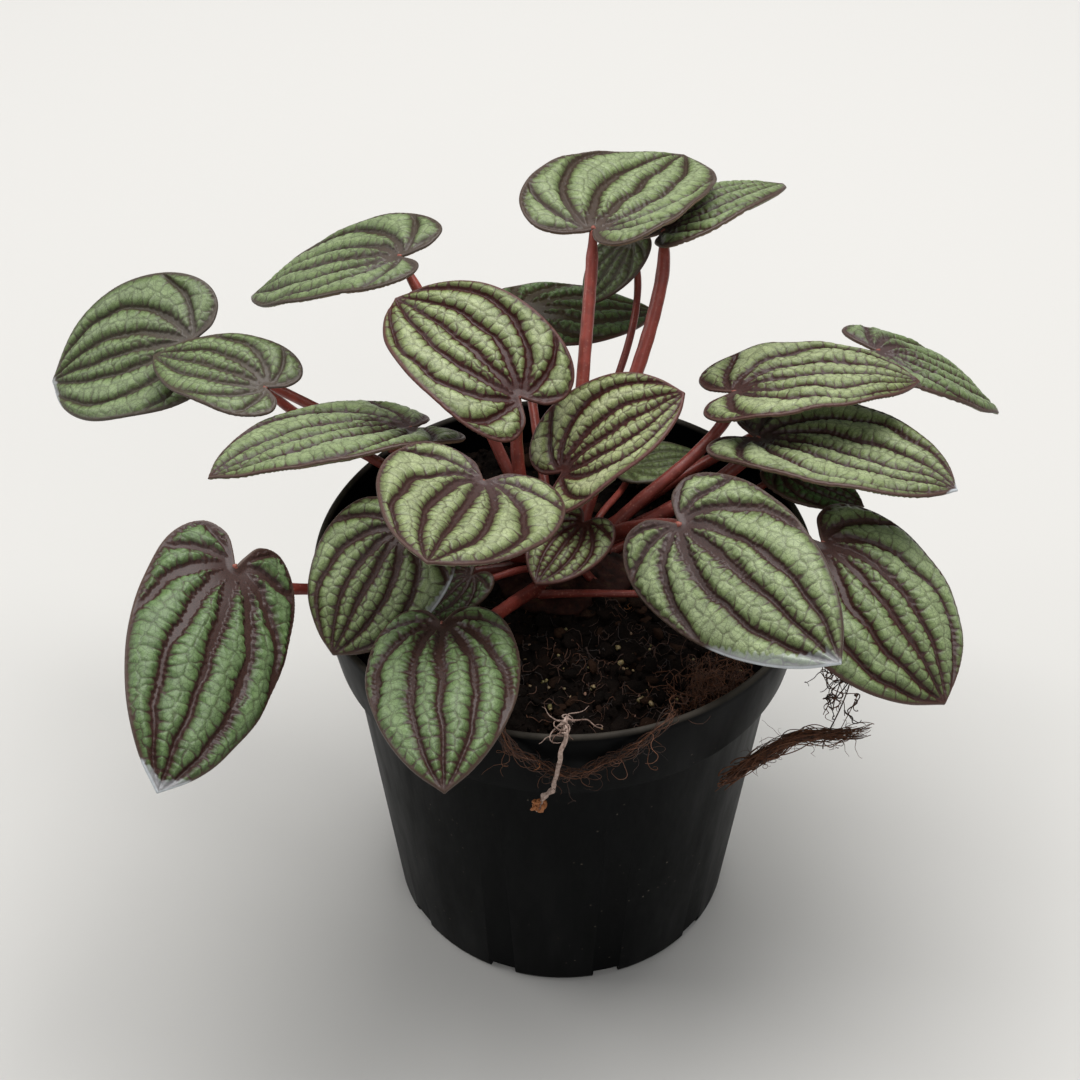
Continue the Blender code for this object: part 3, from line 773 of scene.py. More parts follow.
def curl(start, heading, length, step, wander, rng, climb=0.0):
    """A random wandering path: heading is its first direction in plan, wander how hard it turns."""
    count = max(int(length / step), 4)
    bend = np.convolve(rng.normal(size=count + 6), np.ones(7) / 7.0, "valid")[:count] * wander
    pitch = np.convolve(rng.normal(size=count + 6), np.ones(7) / 7.0, "valid")[:count] * wander * 0.6
    way = heading + np.cumsum(bend)
    steps = np.stack((np.cos(way), np.sin(way), climb + np.sin(pitch)), axis=1)
    return np.vstack((start, start + np.cumsum(unit(steps) * step, axis=0)))


def follow(route, step, scatter, size, seed):
    """A route with its points step apart, thrown off it sideways by up to about scatter."""
    path = even_steps(run_through(np.array(route, float) * MM, 12), step)
    reach = np.arange(len(path))[:, None] * step
    off = np.stack([waves(reach, size, seed + i) for i in range(3)], axis=1)
    return path + off * scatter


# ---- stalks -----------------------------------------------------------------------------------
# By leaf number: radius in millimetres, and how far the stalk is painted as lit, pink red (1), rather than
# shaded, deep red (0).
STALK_LOOKS = {
    1: (1.25, 0.7), 2: (1.2, 0.6), 3: (1.3, 0.8), 4: (1.3, 0.5), 5: (1.45, 0.5), 6: (1.5, 0.75),
    7: (1.65, 0.85), 8: (0.9, 0.6), 9: (1.1, 0.5), 10: (1.4, 0.45), 11: (1.35, 0.35), 12: (0.9, 0.7),
    13: (1.3, 0.2), 14: (1.3, 0.25), 15: (1.45, 0.3), 16: (1.45, 0.45), 17: (1.7, 0.4), 18: (1.3, 0.55),
    19: (1.75, 0.35), 20: (0.8, 0.55), 21: (0.8, 0.5), 22: (0.8, 0.9), 23: (0.9, 0.4),
}


class PEPEROMIA_OT_stalks(bpy.types.Operator):
    """Grow a fleshy stalk from the crown into the underside of every leaf"""
    bl_idname = "peperomia.stalks"
    bl_label = "Stalks"

    def execute(self, context):
        mat = stalk_material(context.scene.peperomia_stalk)
        for name in BLADES:
            make_stalk(name, mat)
        return {"FINISHED"}


def make_stalk(leaf_name, mat):
    number = int(leaf_name[-2:])
    cad_name = leaf_name.replace("leaf", "petiole")
    line = centre_line(cad_name, 9)
    blade = Blade(leaf_name)
    root = line[0] + unit(line[0] - line[1]) * 3.0 * MM
    top = blade.base + (0.1 * MM, 0.0, -0.55 * MM) @ blade.axes
    neck = (line[-1] + top) / 2.0
    path = even_steps(run_through(np.vstack((root, line[:-1], neck, top)), 8), 0.6 * MM)
    run = np.linspace(0.0, 1.0, len(path))
    radius, lit_pink = STALK_LOOKS[number]
    radii = radius * MM * (1.0 + 0.35 * np.exp(-run / 0.06) - 0.12 * run - 0.4 * smooth_step(run, 0.88, 1.0))
    radii *= 1.0 + 0.035 * waves(run[:, None] * len(path) * 0.6, 6.0, number)
    radii[-3:] *= (0.9, 0.7, 0.4)
    points, faces = strand(path, radii, 20, ribs=0.035, rib_count=5, seed=number)
    piece = add_piece(leaf_name.replace("leaf", "stalk"), points, faces, (mat,))
    share = np.concatenate((np.repeat(run, 20), (0.0, 1.0)))
    store(piece.data, "growth", np.stack((share, np.full(len(share), lit_pink), share * len(path)), axis=1))
    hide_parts(cad_name)


def stalk_material(settings):
    """Living stalk, grown: fleshy and waxy. Soft sheen over red skin, with pale flecks along it."""
    mat, tree = new_material("living_stalk_waxy_red")
    place = add(tree, "ShaderNodeTexCoord")
    growth = add(tree, "ShaderNodeAttribute", attribute_name="growth")
    part = add(tree, "ShaderNodeSeparateXYZ", {"Vector": growth.outputs["Vector"]})
    mottle = add(tree, "ShaderNodeTexNoise",
                 {"Vector": place.outputs["Object"], "Scale": 1 / (2.5 * MM), "Detail": 3.0})
    flecks = add(tree, "ShaderNodeTexVoronoi",
                 {"Vector": place.outputs["Object"], "Scale": 1 / (0.9 * MM), "Randomness": 1.0})
    # Painted light and shade: each stalk's red runs from the shaded deep red to the lit pink red.
    lit_and_shaded_red = add(tree, "ShaderNodeMix", {"Factor": part.outputs["Y"], "A": (*settings.deep, 1.0),
                                         "B": (*settings.lit_pink, 1.0)}, data_type="RGBA")
    # The foot is darker and browner, and the last few millimetres under the leaf are paler.
    foot = add(tree, "ShaderNodeMapRange", {"Value": part.outputs["X"], "From Min": 0.0, "From Max": 0.45,
                                            "To Min": 0.75, "To Max": 0.0})
    footed = add(tree, "ShaderNodeMix", {"Factor": foot.outputs[0], "A": lit_and_shaded_red.outputs["Result"],
                                         "B": (*settings.foot, 1.0)}, data_type="RGBA")
    tip = add(tree, "ShaderNodeMapRange", {"Value": part.outputs["X"], "From Min": 0.93, "From Max": 1.0,
                                           "To Min": 0.0, "To Max": 0.45})
    tipped = add(tree, "ShaderNodeMix", {"Factor": tip.outputs[0], "A": footed.outputs["Result"],
                                         "B": (*srgb("#9A6A5C"), 1.0)}, data_type="RGBA")
    shade = add(tree, "ShaderNodeMapRange", {"Value": mottle.outputs["Fac"], "From Min": 0.3,
                                             "From Max": 0.7, "To Min": 0.75, "To Max": 1.2})
    toned = add(tree, "ShaderNodeVectorMath", {0: tipped.outputs["Result"], "Scale": shade.outputs[0]},
                operation="SCALE")
    dot = add(tree, "ShaderNodeMapRange", {"Value": flecks.outputs["Distance"], "From Min": 0.12,
                                           "From Max": 0.3, "To Min": 0.4, "To Max": 0.0})
    final = add(tree, "ShaderNodeMix", {"Factor": dot.outputs[0], "A": toned.outputs[0],
                                        "B": (*srgb("#A9705F"), 1.0)}, data_type="RGBA")
    bump = add(tree, "ShaderNodeBump", {"Strength": 0.25, "Distance": 0.12 * MM,
                                        "Height": mottle.outputs["Fac"]})
    shader = add(tree, "ShaderNodeBsdfPrincipled",
                 {"Base Color": final.outputs["Result"], "Roughness": 0.38, "IOR": 1.42,
                  "Normal": bump.outputs[0]})
    add(tree, "ShaderNodeOutputMaterial", {"Surface": shader.outputs[0]})
    return mat


# ---- soil, crown and what lies on the soil ----------------------------------------------------------
CROWN_MOUND = 1.3 * MM     # how far the peat is heaped up against the crown
BED_SIDES = 300
CROWN_SIDES = 160


class Bed:
    """The soil's upper surface: the CAD soil's height at each radius, with clumps and hollows."""

    def __init__(self, settings):
        points, _ = corners("soil")
        top = points[points[:, 2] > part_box("soil")[1].z - 4.0 * MM]
        radius = np.hypot(top[:, 0], top[:, 1])
        order = np.argsort(radius)
        self.radii, self.heights = radius[order], top[order, 2]
        self.reach = float(radius.max())
        self.clump = settings.clump

    def height(self, plane):
        radius = np.hypot(plane[:, 0], plane[:, 1])
        level = np.interp(radius, self.radii, self.heights)
        level += CROWN_MOUND * smooth_step(radius, 19.0 * MM, 13.0 * MM)
        rise = (waves(plane, 13.0 * MM, 301) * 0.9 + waves(plane, 4.5 * MM, 302) * 0.7
                + np.abs(waves(plane, 1.9 * MM, 303)) * 0.55 + waves(plane, 0.9 * MM, 304) * 0.28)
        calm = smooth_step(self.reach - radius, 0.0, 6.0 * MM) * 0.6 + 0.4
        return level + (rise - 0.5) * self.clump * calm


class PEPEROMIA_OT_soil(bpy.types.Operator):
    """Fill the pot with peat, crumbs, feed grains and fine fibres"""
    bl_idname = "peperomia.soil"
    bl_label = "Soil"

    def execute(self, context):
        settings = context.scene.peperomia_soil
        bed = Bed(settings)
        peat = peat_material(settings)
        make_bed(bed, peat)
        scatter_crumbs(bed, settings, peat)
        scatter_grains(bed, settings, grain_material())
        lay_fibres(bed, settings, fibre_material(settings))
        make_crown(crown_material())
        return {"FINISHED"}


def make_bed(bed, mat):
    """The peat itself: a rough top, and plain sides down to the pot's floor."""
    turn = np.linspace(0.0, 2.0 * np.pi, BED_SIDES, endpoint=False)
    rim = np.stack((np.cos(turn), np.sin(turn)), axis=1)
    top, faces = fill_outline(rim * bed.reach, 0.75 * MM)
    points = np.column_stack((top, bed.height(top)))
    low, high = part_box("soil")
    cad, _ = corners("soil")
    foot_points = cad[cad[:, 2] < low.z + 0.1 * MM]
    foot = float(np.hypot(foot_points[:, 0], foot_points[:, 1]).max())
    belt = high.z - 10.0 * MM
    side_radii = ((bed.reach - 0.7 * MM, belt), (foot * 1.14, belt - 1.0 * MM), (foot, low.z))
    rings = [np.column_stack((rim * radius, np.full(BED_SIDES, height))) for radius, height in side_radii]
    starts = [0] + [len(points) + BED_SIDES * k for k in range(len(rings))]
    points = np.vstack([points] + rings + [np.array([[0.0, 0.0, low.z]])])
    i = np.arange(BED_SIDES)
    j = (i + 1) % BED_SIDES
    sides = []
    for a, b in zip(starts, starts[1:]):
        sides += [np.stack((a + i, b + i, b + j), axis=1), np.stack((a + i, b + j, a + j), axis=1)]
    middle = np.full(BED_SIDES, len(points) - 1)
    sides.append(np.stack((starts[-1] + j, starts[-1] + i, middle), axis=1))
    piece = add_piece("peat_bed", points, np.vstack([faces] + sides), (mat,))
    store(piece.data, "crumb", np.zeros((len(points), 3)))
    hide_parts("soil")


def crumb_shape():
    """A small rounded lump of unit radius."""
    shape = bmesh.new()
    bmesh.ops.create_icosphere(shape, subdivisions=2, radius=1.0)
    shape.verts.index_update()
    points = np.array([v.co for v in shape.verts])
    faces = np.array([[v.index for v in face.verts] for face in shape.faces])
    shape.free()
    return points, faces


def lumps(count, size_low, size_high, place, rng, looks, flatness=0.6):
    """Irregular lumps: place gives each one's resting point, looks its three numbers."""
    ball, faces = crumb_shape()
    parts = []
    for k in range(count):
        size = size_low * (size_high / size_low) ** (rng.uniform() ** 2.2)
        stretch = np.array((1.0, rng.uniform(0.55, 1.0), rng.uniform(0.4, 1.0) * flatness)) * size
        dented = ball * (1.0 + 0.28 * waves(ball, 1.1, int(rng.integers(1e6))))[:, None]
        turned = (dented * stretch) @ np.array(
            Matrix.Rotation(rng.uniform(0, 6.28), 3, "Z") @ Matrix.Rotation(rng.normal() * 0.5, 3, "X")).T
        parts.append((turned + place(rng, size), faces, looks(rng)))
    return parts


def scatter_crumbs(bed, settings, mat):
    rng = np.random.default_rng(41)

    def place(rng, size):
        reach, turn = bed.reach * rng.uniform(0.05, 0.985) ** 0.5, rng.uniform(0, 2 * np.pi)
        reach = min(reach, bed.reach - 1.2 * size)
        plane = np.array([[reach * math.cos(turn), reach * math.sin(turn)]])
        return np.array((*plane[0], bed.height(plane)[0] + 0.12 * size))

    def looks(rng):
        return (rng.uniform() ** 2.0, rng.uniform(), 1.0)

    count = settings.crumbs // 1
    points, faces, look = gather(lumps(count, 0.35 * MM, 2.3 * MM, place, rng, looks))
    piece = add_piece("peat_crumbs", points, faces, (mat,))
    store(piece.data, "crumb", look)


def scatter_grains(bed, settings, mat):
    """Pale grains lie mostly on the open soil at the front."""
    rng = np.random.default_rng(17)

    def place(rng, size):
        while True:
            plane = np.array([[rng.normal(9.0, 15.0), rng.normal(-27.0, 10.0)]]) * MM
            if np.hypot(*plane[0]) < bed.reach - 3.0 * MM:
                return np.array((*plane[0], bed.height(plane)[0] + 0.5 * size))

    def looks(rng):
        return (rng.uniform(), rng.uniform(), 0.0)

    points, faces, look = gather(lumps(settings.grains, 0.35 * MM, 0.95 * MM, place, rng, looks, 0.9))
    piece = add_piece("feed_grains", points, faces, (mat,))
    store(piece.data, "crumb", look)


def lay_fibres(bed, settings, mat):
    """Fine dead roots over the soil, thickest in a mat by the wall at the front right."""
    rng = np.random.default_rng(23)
    parts = []
    for k in range(settings.fibres // (1)):
        in_mat = k % 3 > 0
        middle, spread = ((33.0, -32.0), (5.2, 3.0)) if in_mat else ((6.0, -22.0), (20.0, 15.0))
        spot = rng.normal(middle, spread) * MM
        if np.hypot(*spot) > bed.reach - 3.0 * MM or np.hypot(spot[0], spot[1] - 5.0 * MM) < 16.0 * MM:
            continue
        path = curl(np.array((*spot, 0.0)), rng.uniform(0, 6.28), rng.uniform(4.0, 14.0) * MM,
                    0.7 * MM, 1.1, rng)
        path = path[np.hypot(path[:, 0], path[:, 1]) < bed.reach - 0.8 * MM]
        if len(path) < 5:
            continue
        loft = rng.uniform(0.15, 3.2 if in_mat else 0.7) * MM
        arch = np.sin(np.linspace(0.0, np.pi, len(path)))
        path[:, 2] = bed.height(path[:, :2]) + 0.15 * MM + loft * arch
        radii = rng.uniform(0.05, 0.12) * MM * np.linspace(1.0, 0.4, len(path))
        points, faces = strand(path, radii, 5)
        rust = rng.uniform(0.3, 1.0) if in_mat else rng.uniform(0.0, 0.6)
        parts.append((points, faces, (rust, rng.uniform(), 0.0)))
    points, faces, look = gather(parts)
    piece = add_piece("soil_fibres", points, faces, (mat,))
    store(piece.data, "crumb", look)


def make_crown(mat):
    """The knot of stem bases that the stalks spring from: a lumpy mound."""
    low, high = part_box("crown")
    middle = (low + high) / 2.0
    reach = (high.x - low.x) / 2.0
    turn = np.linspace(0.0, 2.0 * np.pi, CROWN_SIDES, endpoint=False)
    rim = np.stack((np.cos(turn), np.sin(turn)), axis=1)
    plane, faces = fill_outline(rim * reach, 0.5 * MM)
    share = np.hypot(*plane.T) / reach
    rise = (high.z - low.z) * np.sqrt(np.clip(1.0 - share ** 2, 0.0, 1.0)) ** 0.8
    rough = np.abs(waves(plane, 4.0 * MM, 611)) * 1.0 + waves(plane, 1.6 * MM, 612) * 0.35
    height = low.z + rise * 0.92 + (rough - 0.7) * 0.7 * MM * smooth_step(1.0 - share, 0.0, 0.3)
    top = np.column_stack((plane + (middle.x, middle.y), height))
    base = np.array([[middle.x, middle.y, low.z - 1.0 * MM]])
    ring = np.arange(CROWN_SIDES)
    under = np.stack(((ring + 1) % CROWN_SIDES, ring, np.full(CROWN_SIDES, len(top))), axis=1)
    piece = add_piece("crown_knot", np.vstack((top, base)), np.vstack((faces, under)), (mat,))
    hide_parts("crown")


def peat_material(settings):
    """Sphagnum peat, milled: damp, nearly black and fully rough, with browner dry crumbs."""
    mat, tree = new_material("milled_damp_peat")
    place = add(tree, "ShaderNodeTexCoord")
    crumb = add(tree, "ShaderNodeAttribute", attribute_name="crumb")
    part = add(tree, "ShaderNodeSeparateXYZ", {"Vector": crumb.outputs["Vector"]})
    coarse = add(tree, "ShaderNodeTexNoise", {"Vector": place.outputs["Object"], "Scale": 1 / (4.0 * MM),
                                              "Detail": 8.0, "Roughness": 0.7})
    fine = add(tree, "ShaderNodeTexNoise",
               {"Vector": place.outputs["Object"], "Scale": 1 / (0.5 * MM), "Detail": 4.0})
    dry = add(tree, "ShaderNodeMath", {0: part.outputs["X"], 1: coarse.outputs["Fac"]},
              operation="MULTIPLY")
    brown = add(tree, "ShaderNodeMapRange",
                {"Value": coarse.outputs["Fac"], "From Min": 0.42, "From Max": 0.7})
    mixed = add(tree, "ShaderNodeMix", {"Factor": brown.outputs[0], "A": (*settings.damp, 1.0),
                                        "B": (*settings.dry, 1.0)}, data_type="RGBA")
    lighter = add(tree, "ShaderNodeMapRange",
                  {"Value": dry.outputs[0], "From Min": 0.12, "From Max": 0.5})
    final = add(tree, "ShaderNodeMix", {"Factor": lighter.outputs[0], "A": mixed.outputs["Result"],
                                        "B": (*srgb("#27180F"), 1.0)}, data_type="RGBA")
    bump = add(tree, "ShaderNodeBump",
               {"Strength": 1.0, "Distance": 0.4 * MM, "Height": fine.outputs["Fac"]})
    shader = add(tree, "ShaderNodeBsdfPrincipled",
                 {"Base Color": final.outputs["Result"], "Roughness": 0.85, "IOR": 1.4,
                  "Normal": bump.outputs[0], "Specular IOR Level": 0.12})
    add(tree, "ShaderNodeOutputMaterial", {"Surface": shader.outputs[0]})
    return mat


def grain_material():
    """Coated feed grains, prilled: waxy beads from yellow-green to dull pink."""
    mat, tree = new_material("prilled_feed_grains")
    crumb = add(tree, "ShaderNodeAttribute", attribute_name="crumb")
    part = add(tree, "ShaderNodeSeparateXYZ", {"Vector": crumb.outputs["Vector"]})
    place = add(tree, "ShaderNodeTexCoord")
    mottle = add(tree, "ShaderNodeTexNoise",
                 {"Vector": place.outputs["Object"], "Scale": 1 / (0.6 * MM), "Detail": 3.0})
    ramp = add(tree, "ShaderNodeValToRGB", {"Fac": part.outputs["X"]})
    ramp.color_ramp.elements[0].color = (*srgb("#6E6638"), 1.0)
    ramp.color_ramp.elements[1].color = (*srgb("#845B4D"), 1.0)
    middle = ramp.color_ramp.elements.new(0.55)
    middle.color = (*srgb("#8E7954"), 1.0)
    soiled = add(tree, "ShaderNodeMapRange", {"Value": mottle.outputs["Fac"], "From Min": 0.35,
                                              "From Max": 0.65, "To Min": 0.35, "To Max": 1.0})
    final = add(tree, "ShaderNodeVectorMath", {0: ramp.outputs["Color"], "Scale": soiled.outputs[0]},
                operation="SCALE")
    shader = add(tree, "ShaderNodeBsdfPrincipled",
                 {"Base Color": final.outputs[0], "Roughness": 0.5, "IOR": 1.45})
    add(tree, "ShaderNodeOutputMaterial", {"Surface": shader.outputs[0]})
    return mat


def fibre_material(settings):
    """Dead root fibre, dried in air: dull rust to dark brown, each fibre its own shade."""
    mat, tree = new_material("dried_root_fibre")
    crumb = add(tree, "ShaderNodeAttribute", attribute_name="crumb")
    part = add(tree, "ShaderNodeSeparateXYZ", {"Vector": crumb.outputs["Vector"]})
    place = add(tree, "ShaderNodeTexCoord")
    grain = add(tree, "ShaderNodeTexNoise",
                {"Vector": place.outputs["Object"], "Scale": 1 / (0.7 * MM), "Detail": 4.0})
    shade = add(tree, "ShaderNodeMath", {0: part.outputs["X"], 1: grain.outputs["Fac"]},
                operation="MULTIPLY")
    spread = add(tree, "ShaderNodeMapRange",
                 {"Value": shade.outputs[0], "From Min": 0.05, "From Max": 0.6})
    brown = add(tree, "ShaderNodeMix", {"Factor": spread.outputs[0], "A": (*settings.fibre_dark, 1.0),
                                        "B": (*settings.fibre_rust, 1.0)}, data_type="RGBA")
    pale = add(tree, "ShaderNodeMath", {0: part.outputs["Z"], 1: grain.outputs["Fac"]},
               operation="MULTIPLY")
    paler = add(tree, "ShaderNodeMapRange",
                {"Value": pale.outputs[0], "From Min": 0.15, "From Max": 0.65})
    pinked = add(tree, "ShaderNodeMix", {"Factor": paler.outputs[0], "A": brown.outputs["Result"],
                                         "B": (*srgb("#BFA89C"), 1.0)}, data_type="RGBA")
    # The curled strips, whose middle number is 1, are amber.
    amber = add(tree, "ShaderNodeMath", {0: part.outputs["Y"], 1: 0.999}, operation="GREATER_THAN")
    final = add(tree, "ShaderNodeMix", {"Factor": amber.outputs[0], "A": pinked.outputs["Result"],
                                        "B": (*srgb("#9C6136"), 1.0)}, data_type="RGBA")
    bump = add(tree, "ShaderNodeBump",
               {"Strength": 0.6, "Distance": 0.1 * MM, "Height": grain.outputs["Fac"]})
    shader = add(tree, "ShaderNodeBsdfPrincipled",
                 {"Base Color": final.outputs["Result"], "Roughness": 0.7, "IOR": 1.5,
                  "Normal": bump.outputs[0]})
    add(tree, "ShaderNodeOutputMaterial", {"Surface": shader.outputs[0]})
    return mat


def crown_material():
    """Stem tissue, grown and partly corked: olive-brown and reddish, and rough."""
    mat, tree = new_material("corked_stem_tissue")
    place = add(tree, "ShaderNodeTexCoord")
    mottle = add(tree, "ShaderNodeTexNoise", {"Vector": place.outputs["Object"], "Scale": 1 / (3.0 * MM),
                                              "Detail": 6.0, "Roughness": 0.65})
    ramp = add(tree, "ShaderNodeValToRGB", {"Fac": mottle.outputs["Fac"]})
    ramp.color_ramp.elements[0].position = 0.35
    ramp.color_ramp.elements[0].color = (*srgb("#120A06"), 1.0)
    ramp.color_ramp.elements[1].position = 0.72
    ramp.color_ramp.elements[1].color = (*srgb("#3A2C1C"), 1.0)
    red = ramp.color_ramp.elements.new(0.55)
    red.color = (*srgb("#2C140E"), 1.0)
    bump = add(tree, "ShaderNodeBump", {"Strength": 0.8, "Distance": 0.4 * MM,
                                        "Height": mottle.outputs["Fac"]})
    shader = add(tree, "ShaderNodeBsdfPrincipled",
                 {"Base Color": ramp.outputs["Color"], "Roughness": 0.8, "IOR": 1.45,
                  "Specular IOR Level": 0.15, "Normal": bump.outputs[0]})
    add(tree, "ShaderNodeOutputMaterial", {"Surface": shader.outputs[0]})
    return mat


# ---- loose roots ------------------------------------------------------------------------------
# The routes of the loose pieces, in millimetres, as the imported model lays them.
ROOT_STRAND = ((-13, -41, 88), (-13.5, -46, 93.5), (-13.3, -50.5, 96.5), (-10.5, -53.2, 93),
               (-5, -52.8, 87.5), (1, -52.6, 85.5), (8, -52.2, 88), (15, -51.2, 92.5),
               (19.5, -49.4, 96.6), (21, -45, 94.5), (23, -40, 88))
DRIED_STALK = ((1, -42, 87.5), (0.5, -47, 94.5), (0, -51, 97.6), (-0.8, -55, 94.5),
               (-2, -55.2, 87), (-3.8, -54.6, 80.5), (-5.8, -54, 76))
ROOT_TANGLE = ((39, -11, 87.5), (45.5, -12.3, 94.3), (49.8, -13.6, 97.3), (54, -15, 95.5),
               (56.2, -16.8, 89), (57.4, -20, 80), (57.2, -24.6, 73), (57.2, -26.5, 71))
FIBRE_BUNDLE = ((32, -37.8, 66), (40, -32.6, 67.5), (48, -29, 70), (56, -28, 70.2), (64, -28, 72))
STRIPS = 24                # curled strips on the dried stalk
ROOTLETS = 9               # fine roots that spread from it along the rim
OUT_OF_COLLAR = -51.6 * MM     # the strips keep in front of this, clear of the pot


class PEPEROMIA_OT_roots(bpy.types.Operator):
    """Hang the loose roots, the dried stalk and the fibre bundle over the pot's rim"""
    bl_idname = "peperomia.roots"
    bl_label = "Loose roots"

    def execute(self, context):
        mat = fibre_material(context.scene.peperomia_soil)
        rng = np.random.default_rng(7)
        hang("root_strand", ROOT_STRAND, mat, rng, strands=22, scatter=1.1, radius=0.1, pale=0.14,
             hairs=60, curls=1.0, hair_length=13.0)
        hang("root_tangle", ROOT_TANGLE, mat, rng, strands=16, scatter=2.9, radius=0.2, pale=0.0,
             hairs=150, hair=0.15, curls=2.0, hair_length=11.0)
        hang("fibre_bundle", FIBRE_BUNDLE, mat, rng, strands=95, scatter=1.4, radius=0.14, pale=0.05,
             hairs=60, ripple=1.7, least_rust=0.4)
        make_dried_stalk(mat, rng)
        return {"FINISHED"}


def hang(name, route, mat, rng, strands, scatter, radius, pale, hairs, hair=0.07, curls=1.6,
         hair_length=8.0, ripple=1.0, least_rust=0.0):
    """A loose rope of root fibres along a route, with finer hairs that curl off them."""
    parts, paths = [], []
    for k in range(strands):
        wave = ripple * rng.uniform(9.0, 18.0) * MM
        path = follow(route, 0.7 * MM, scatter * MM, wave, int(rng.integers(1e6)))
        first = 0 if k < 3 else int(rng.uniform(0.0, 0.25) * len(path))
        last = len(path) if k < 3 else int(rng.uniform(0.7, 1.0) * len(path))
        path = path[first:last]
        thick = radius * MM * rng.uniform(0.5, 1.15) * np.linspace(1.0, 0.6, len(path))
        points, faces = strand(path, thick, 7, ribs=0.1, rib_count=3, seed=k)
        parts.append((points, faces, (rng.uniform(least_rust, 1.0), rng.uniform(), pale)))
        paths.append(path)
    for k in range(hairs):
        grows_on = paths[int(rng.integers(strands))]
        start = grows_on[int(rng.uniform(0.1, 1.0) * len(grows_on))]
        path = curl(start, rng.uniform(0, 6.28), rng.uniform(2.5, hair_length) * MM, 0.45 * MM, curls, rng,
                    climb=rng.uniform(-0.9, 0.3))
        thick = hair * MM * rng.uniform(0.6, 1.2) * np.linspace(1.2, 0.5, len(path))
        points, faces = strand(path, thick, 5)
        parts.append((points, faces, (rng.uniform(), rng.uniform(), pale * rng.uniform(0.0, 2.0))))
    points, faces, look = gather(parts)
    piece = add_piece(name + "_fibres", points, faces, (mat,))
    store(piece.data, "crumb", look)
    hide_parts(name)


def make_dried_stalk(mat, rng):
    """A shrivelled pale stalk over the rim, ending in an amber clump of curled strips."""
    path = follow(DRIED_STALK, 0.4 * MM, 0.35 * MM, 7.0 * MM, 5)
    run = np.linspace(0.0, 1.0, len(path))
    radii = MM * (0.42 + 0.2 * waves(run[:, None], 0.12, 3) ** 2 - 0.1 * run)
    points, faces = strand(path, radii, 14, ribs=0.4, rib_count=3, seed=2)
    parts = [(points, faces, (0.7, 0.2, 0.95))]
    for k in range(STRIPS):
        size = rng.uniform(0.35, 0.85)
        turn = np.linspace(0.0, rng.uniform(3.0, 5.5), 18)
        loop = np.stack((np.cos(turn), np.sin(turn), turn * 0.25), axis=1) * size * MM
        tilt = np.array(Matrix.Rotation(rng.uniform(0, 6.28), 3, (rng.normal(), rng.normal(), rng.normal())))
        near_top = k % 3 == 0
        spot = path[int((rng.uniform(0.3, 0.5) if near_top else rng.uniform(0.92, 0.99)) * (len(path) - 1))]
        loop = loop @ tilt.T
        loop = loop - loop[0] + spot
        loop[:, 1] = np.minimum(loop[:, 1], OUT_OF_COLLAR)
        thick = MM * np.linspace(0.2, 0.1, 18) * (1.0 if near_top else 1.9)
        points, faces = strand(loop, thick, 8, ribs=0.3, rib_count=3, seed=k)
        parts.append((points, faces, (0.6, 0.2, 0.8) if near_top else (1.0, 1.0, 0.0)))
    for k in range(ROOTLETS):
        start = path[int(rng.uniform(0.26, 0.42) * (len(path) - 1))]
        heading = (0.0 if k % 2 else math.pi) + rng.normal() * 0.3
        rootlet = curl(start, heading, rng.uniform(4.0, 11.0) * MM, 0.5 * MM, 0.8, rng, climb=-0.12)
        points, faces = strand(rootlet, MM * np.linspace(0.2, 0.06, len(rootlet)), 6)
        parts.append((points, faces, (0.6, 0.2, rng.uniform(0.4, 1.0))))
    points, faces, look = gather(parts)
    piece = add_piece("dried_stalk_curls", points, faces, (mat,))
    store(piece.data, "crumb", look)
    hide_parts("dried_stalk")


# ---- pot --------------------------------------------------------------------------------------
class PEPEROMIA_OT_pot(bpy.types.Operator):
    """Mould the black nursery pot with its collar, lip, feet and drain slots"""
    bl_idname = "peperomia.pot"
    bl_label = "Pot"

    def execute(self, context):
        make_pot(context.scene.peperomia_pot)
        return {"FINISHED"}


# Radii of the pot under the collar, at its body's top and at its foot, as shares of the rim's.
COLLAR_FOOT_SHARE = 0.9314
BODY_TOP_SHARE = 0.8762
FOOT_SHARE = 0.7143
POT_FLOOR = 2.0 * MM
POT_SIDES = 220
SLOT_PHASE = math.radians(-75.0)                   # which way the first drain slot points
SLOT_SIZE = (9.0 * MM, 6.0 * MM, 5.6 * MM, 1.0)    # of the cutter: in, along and up the wall


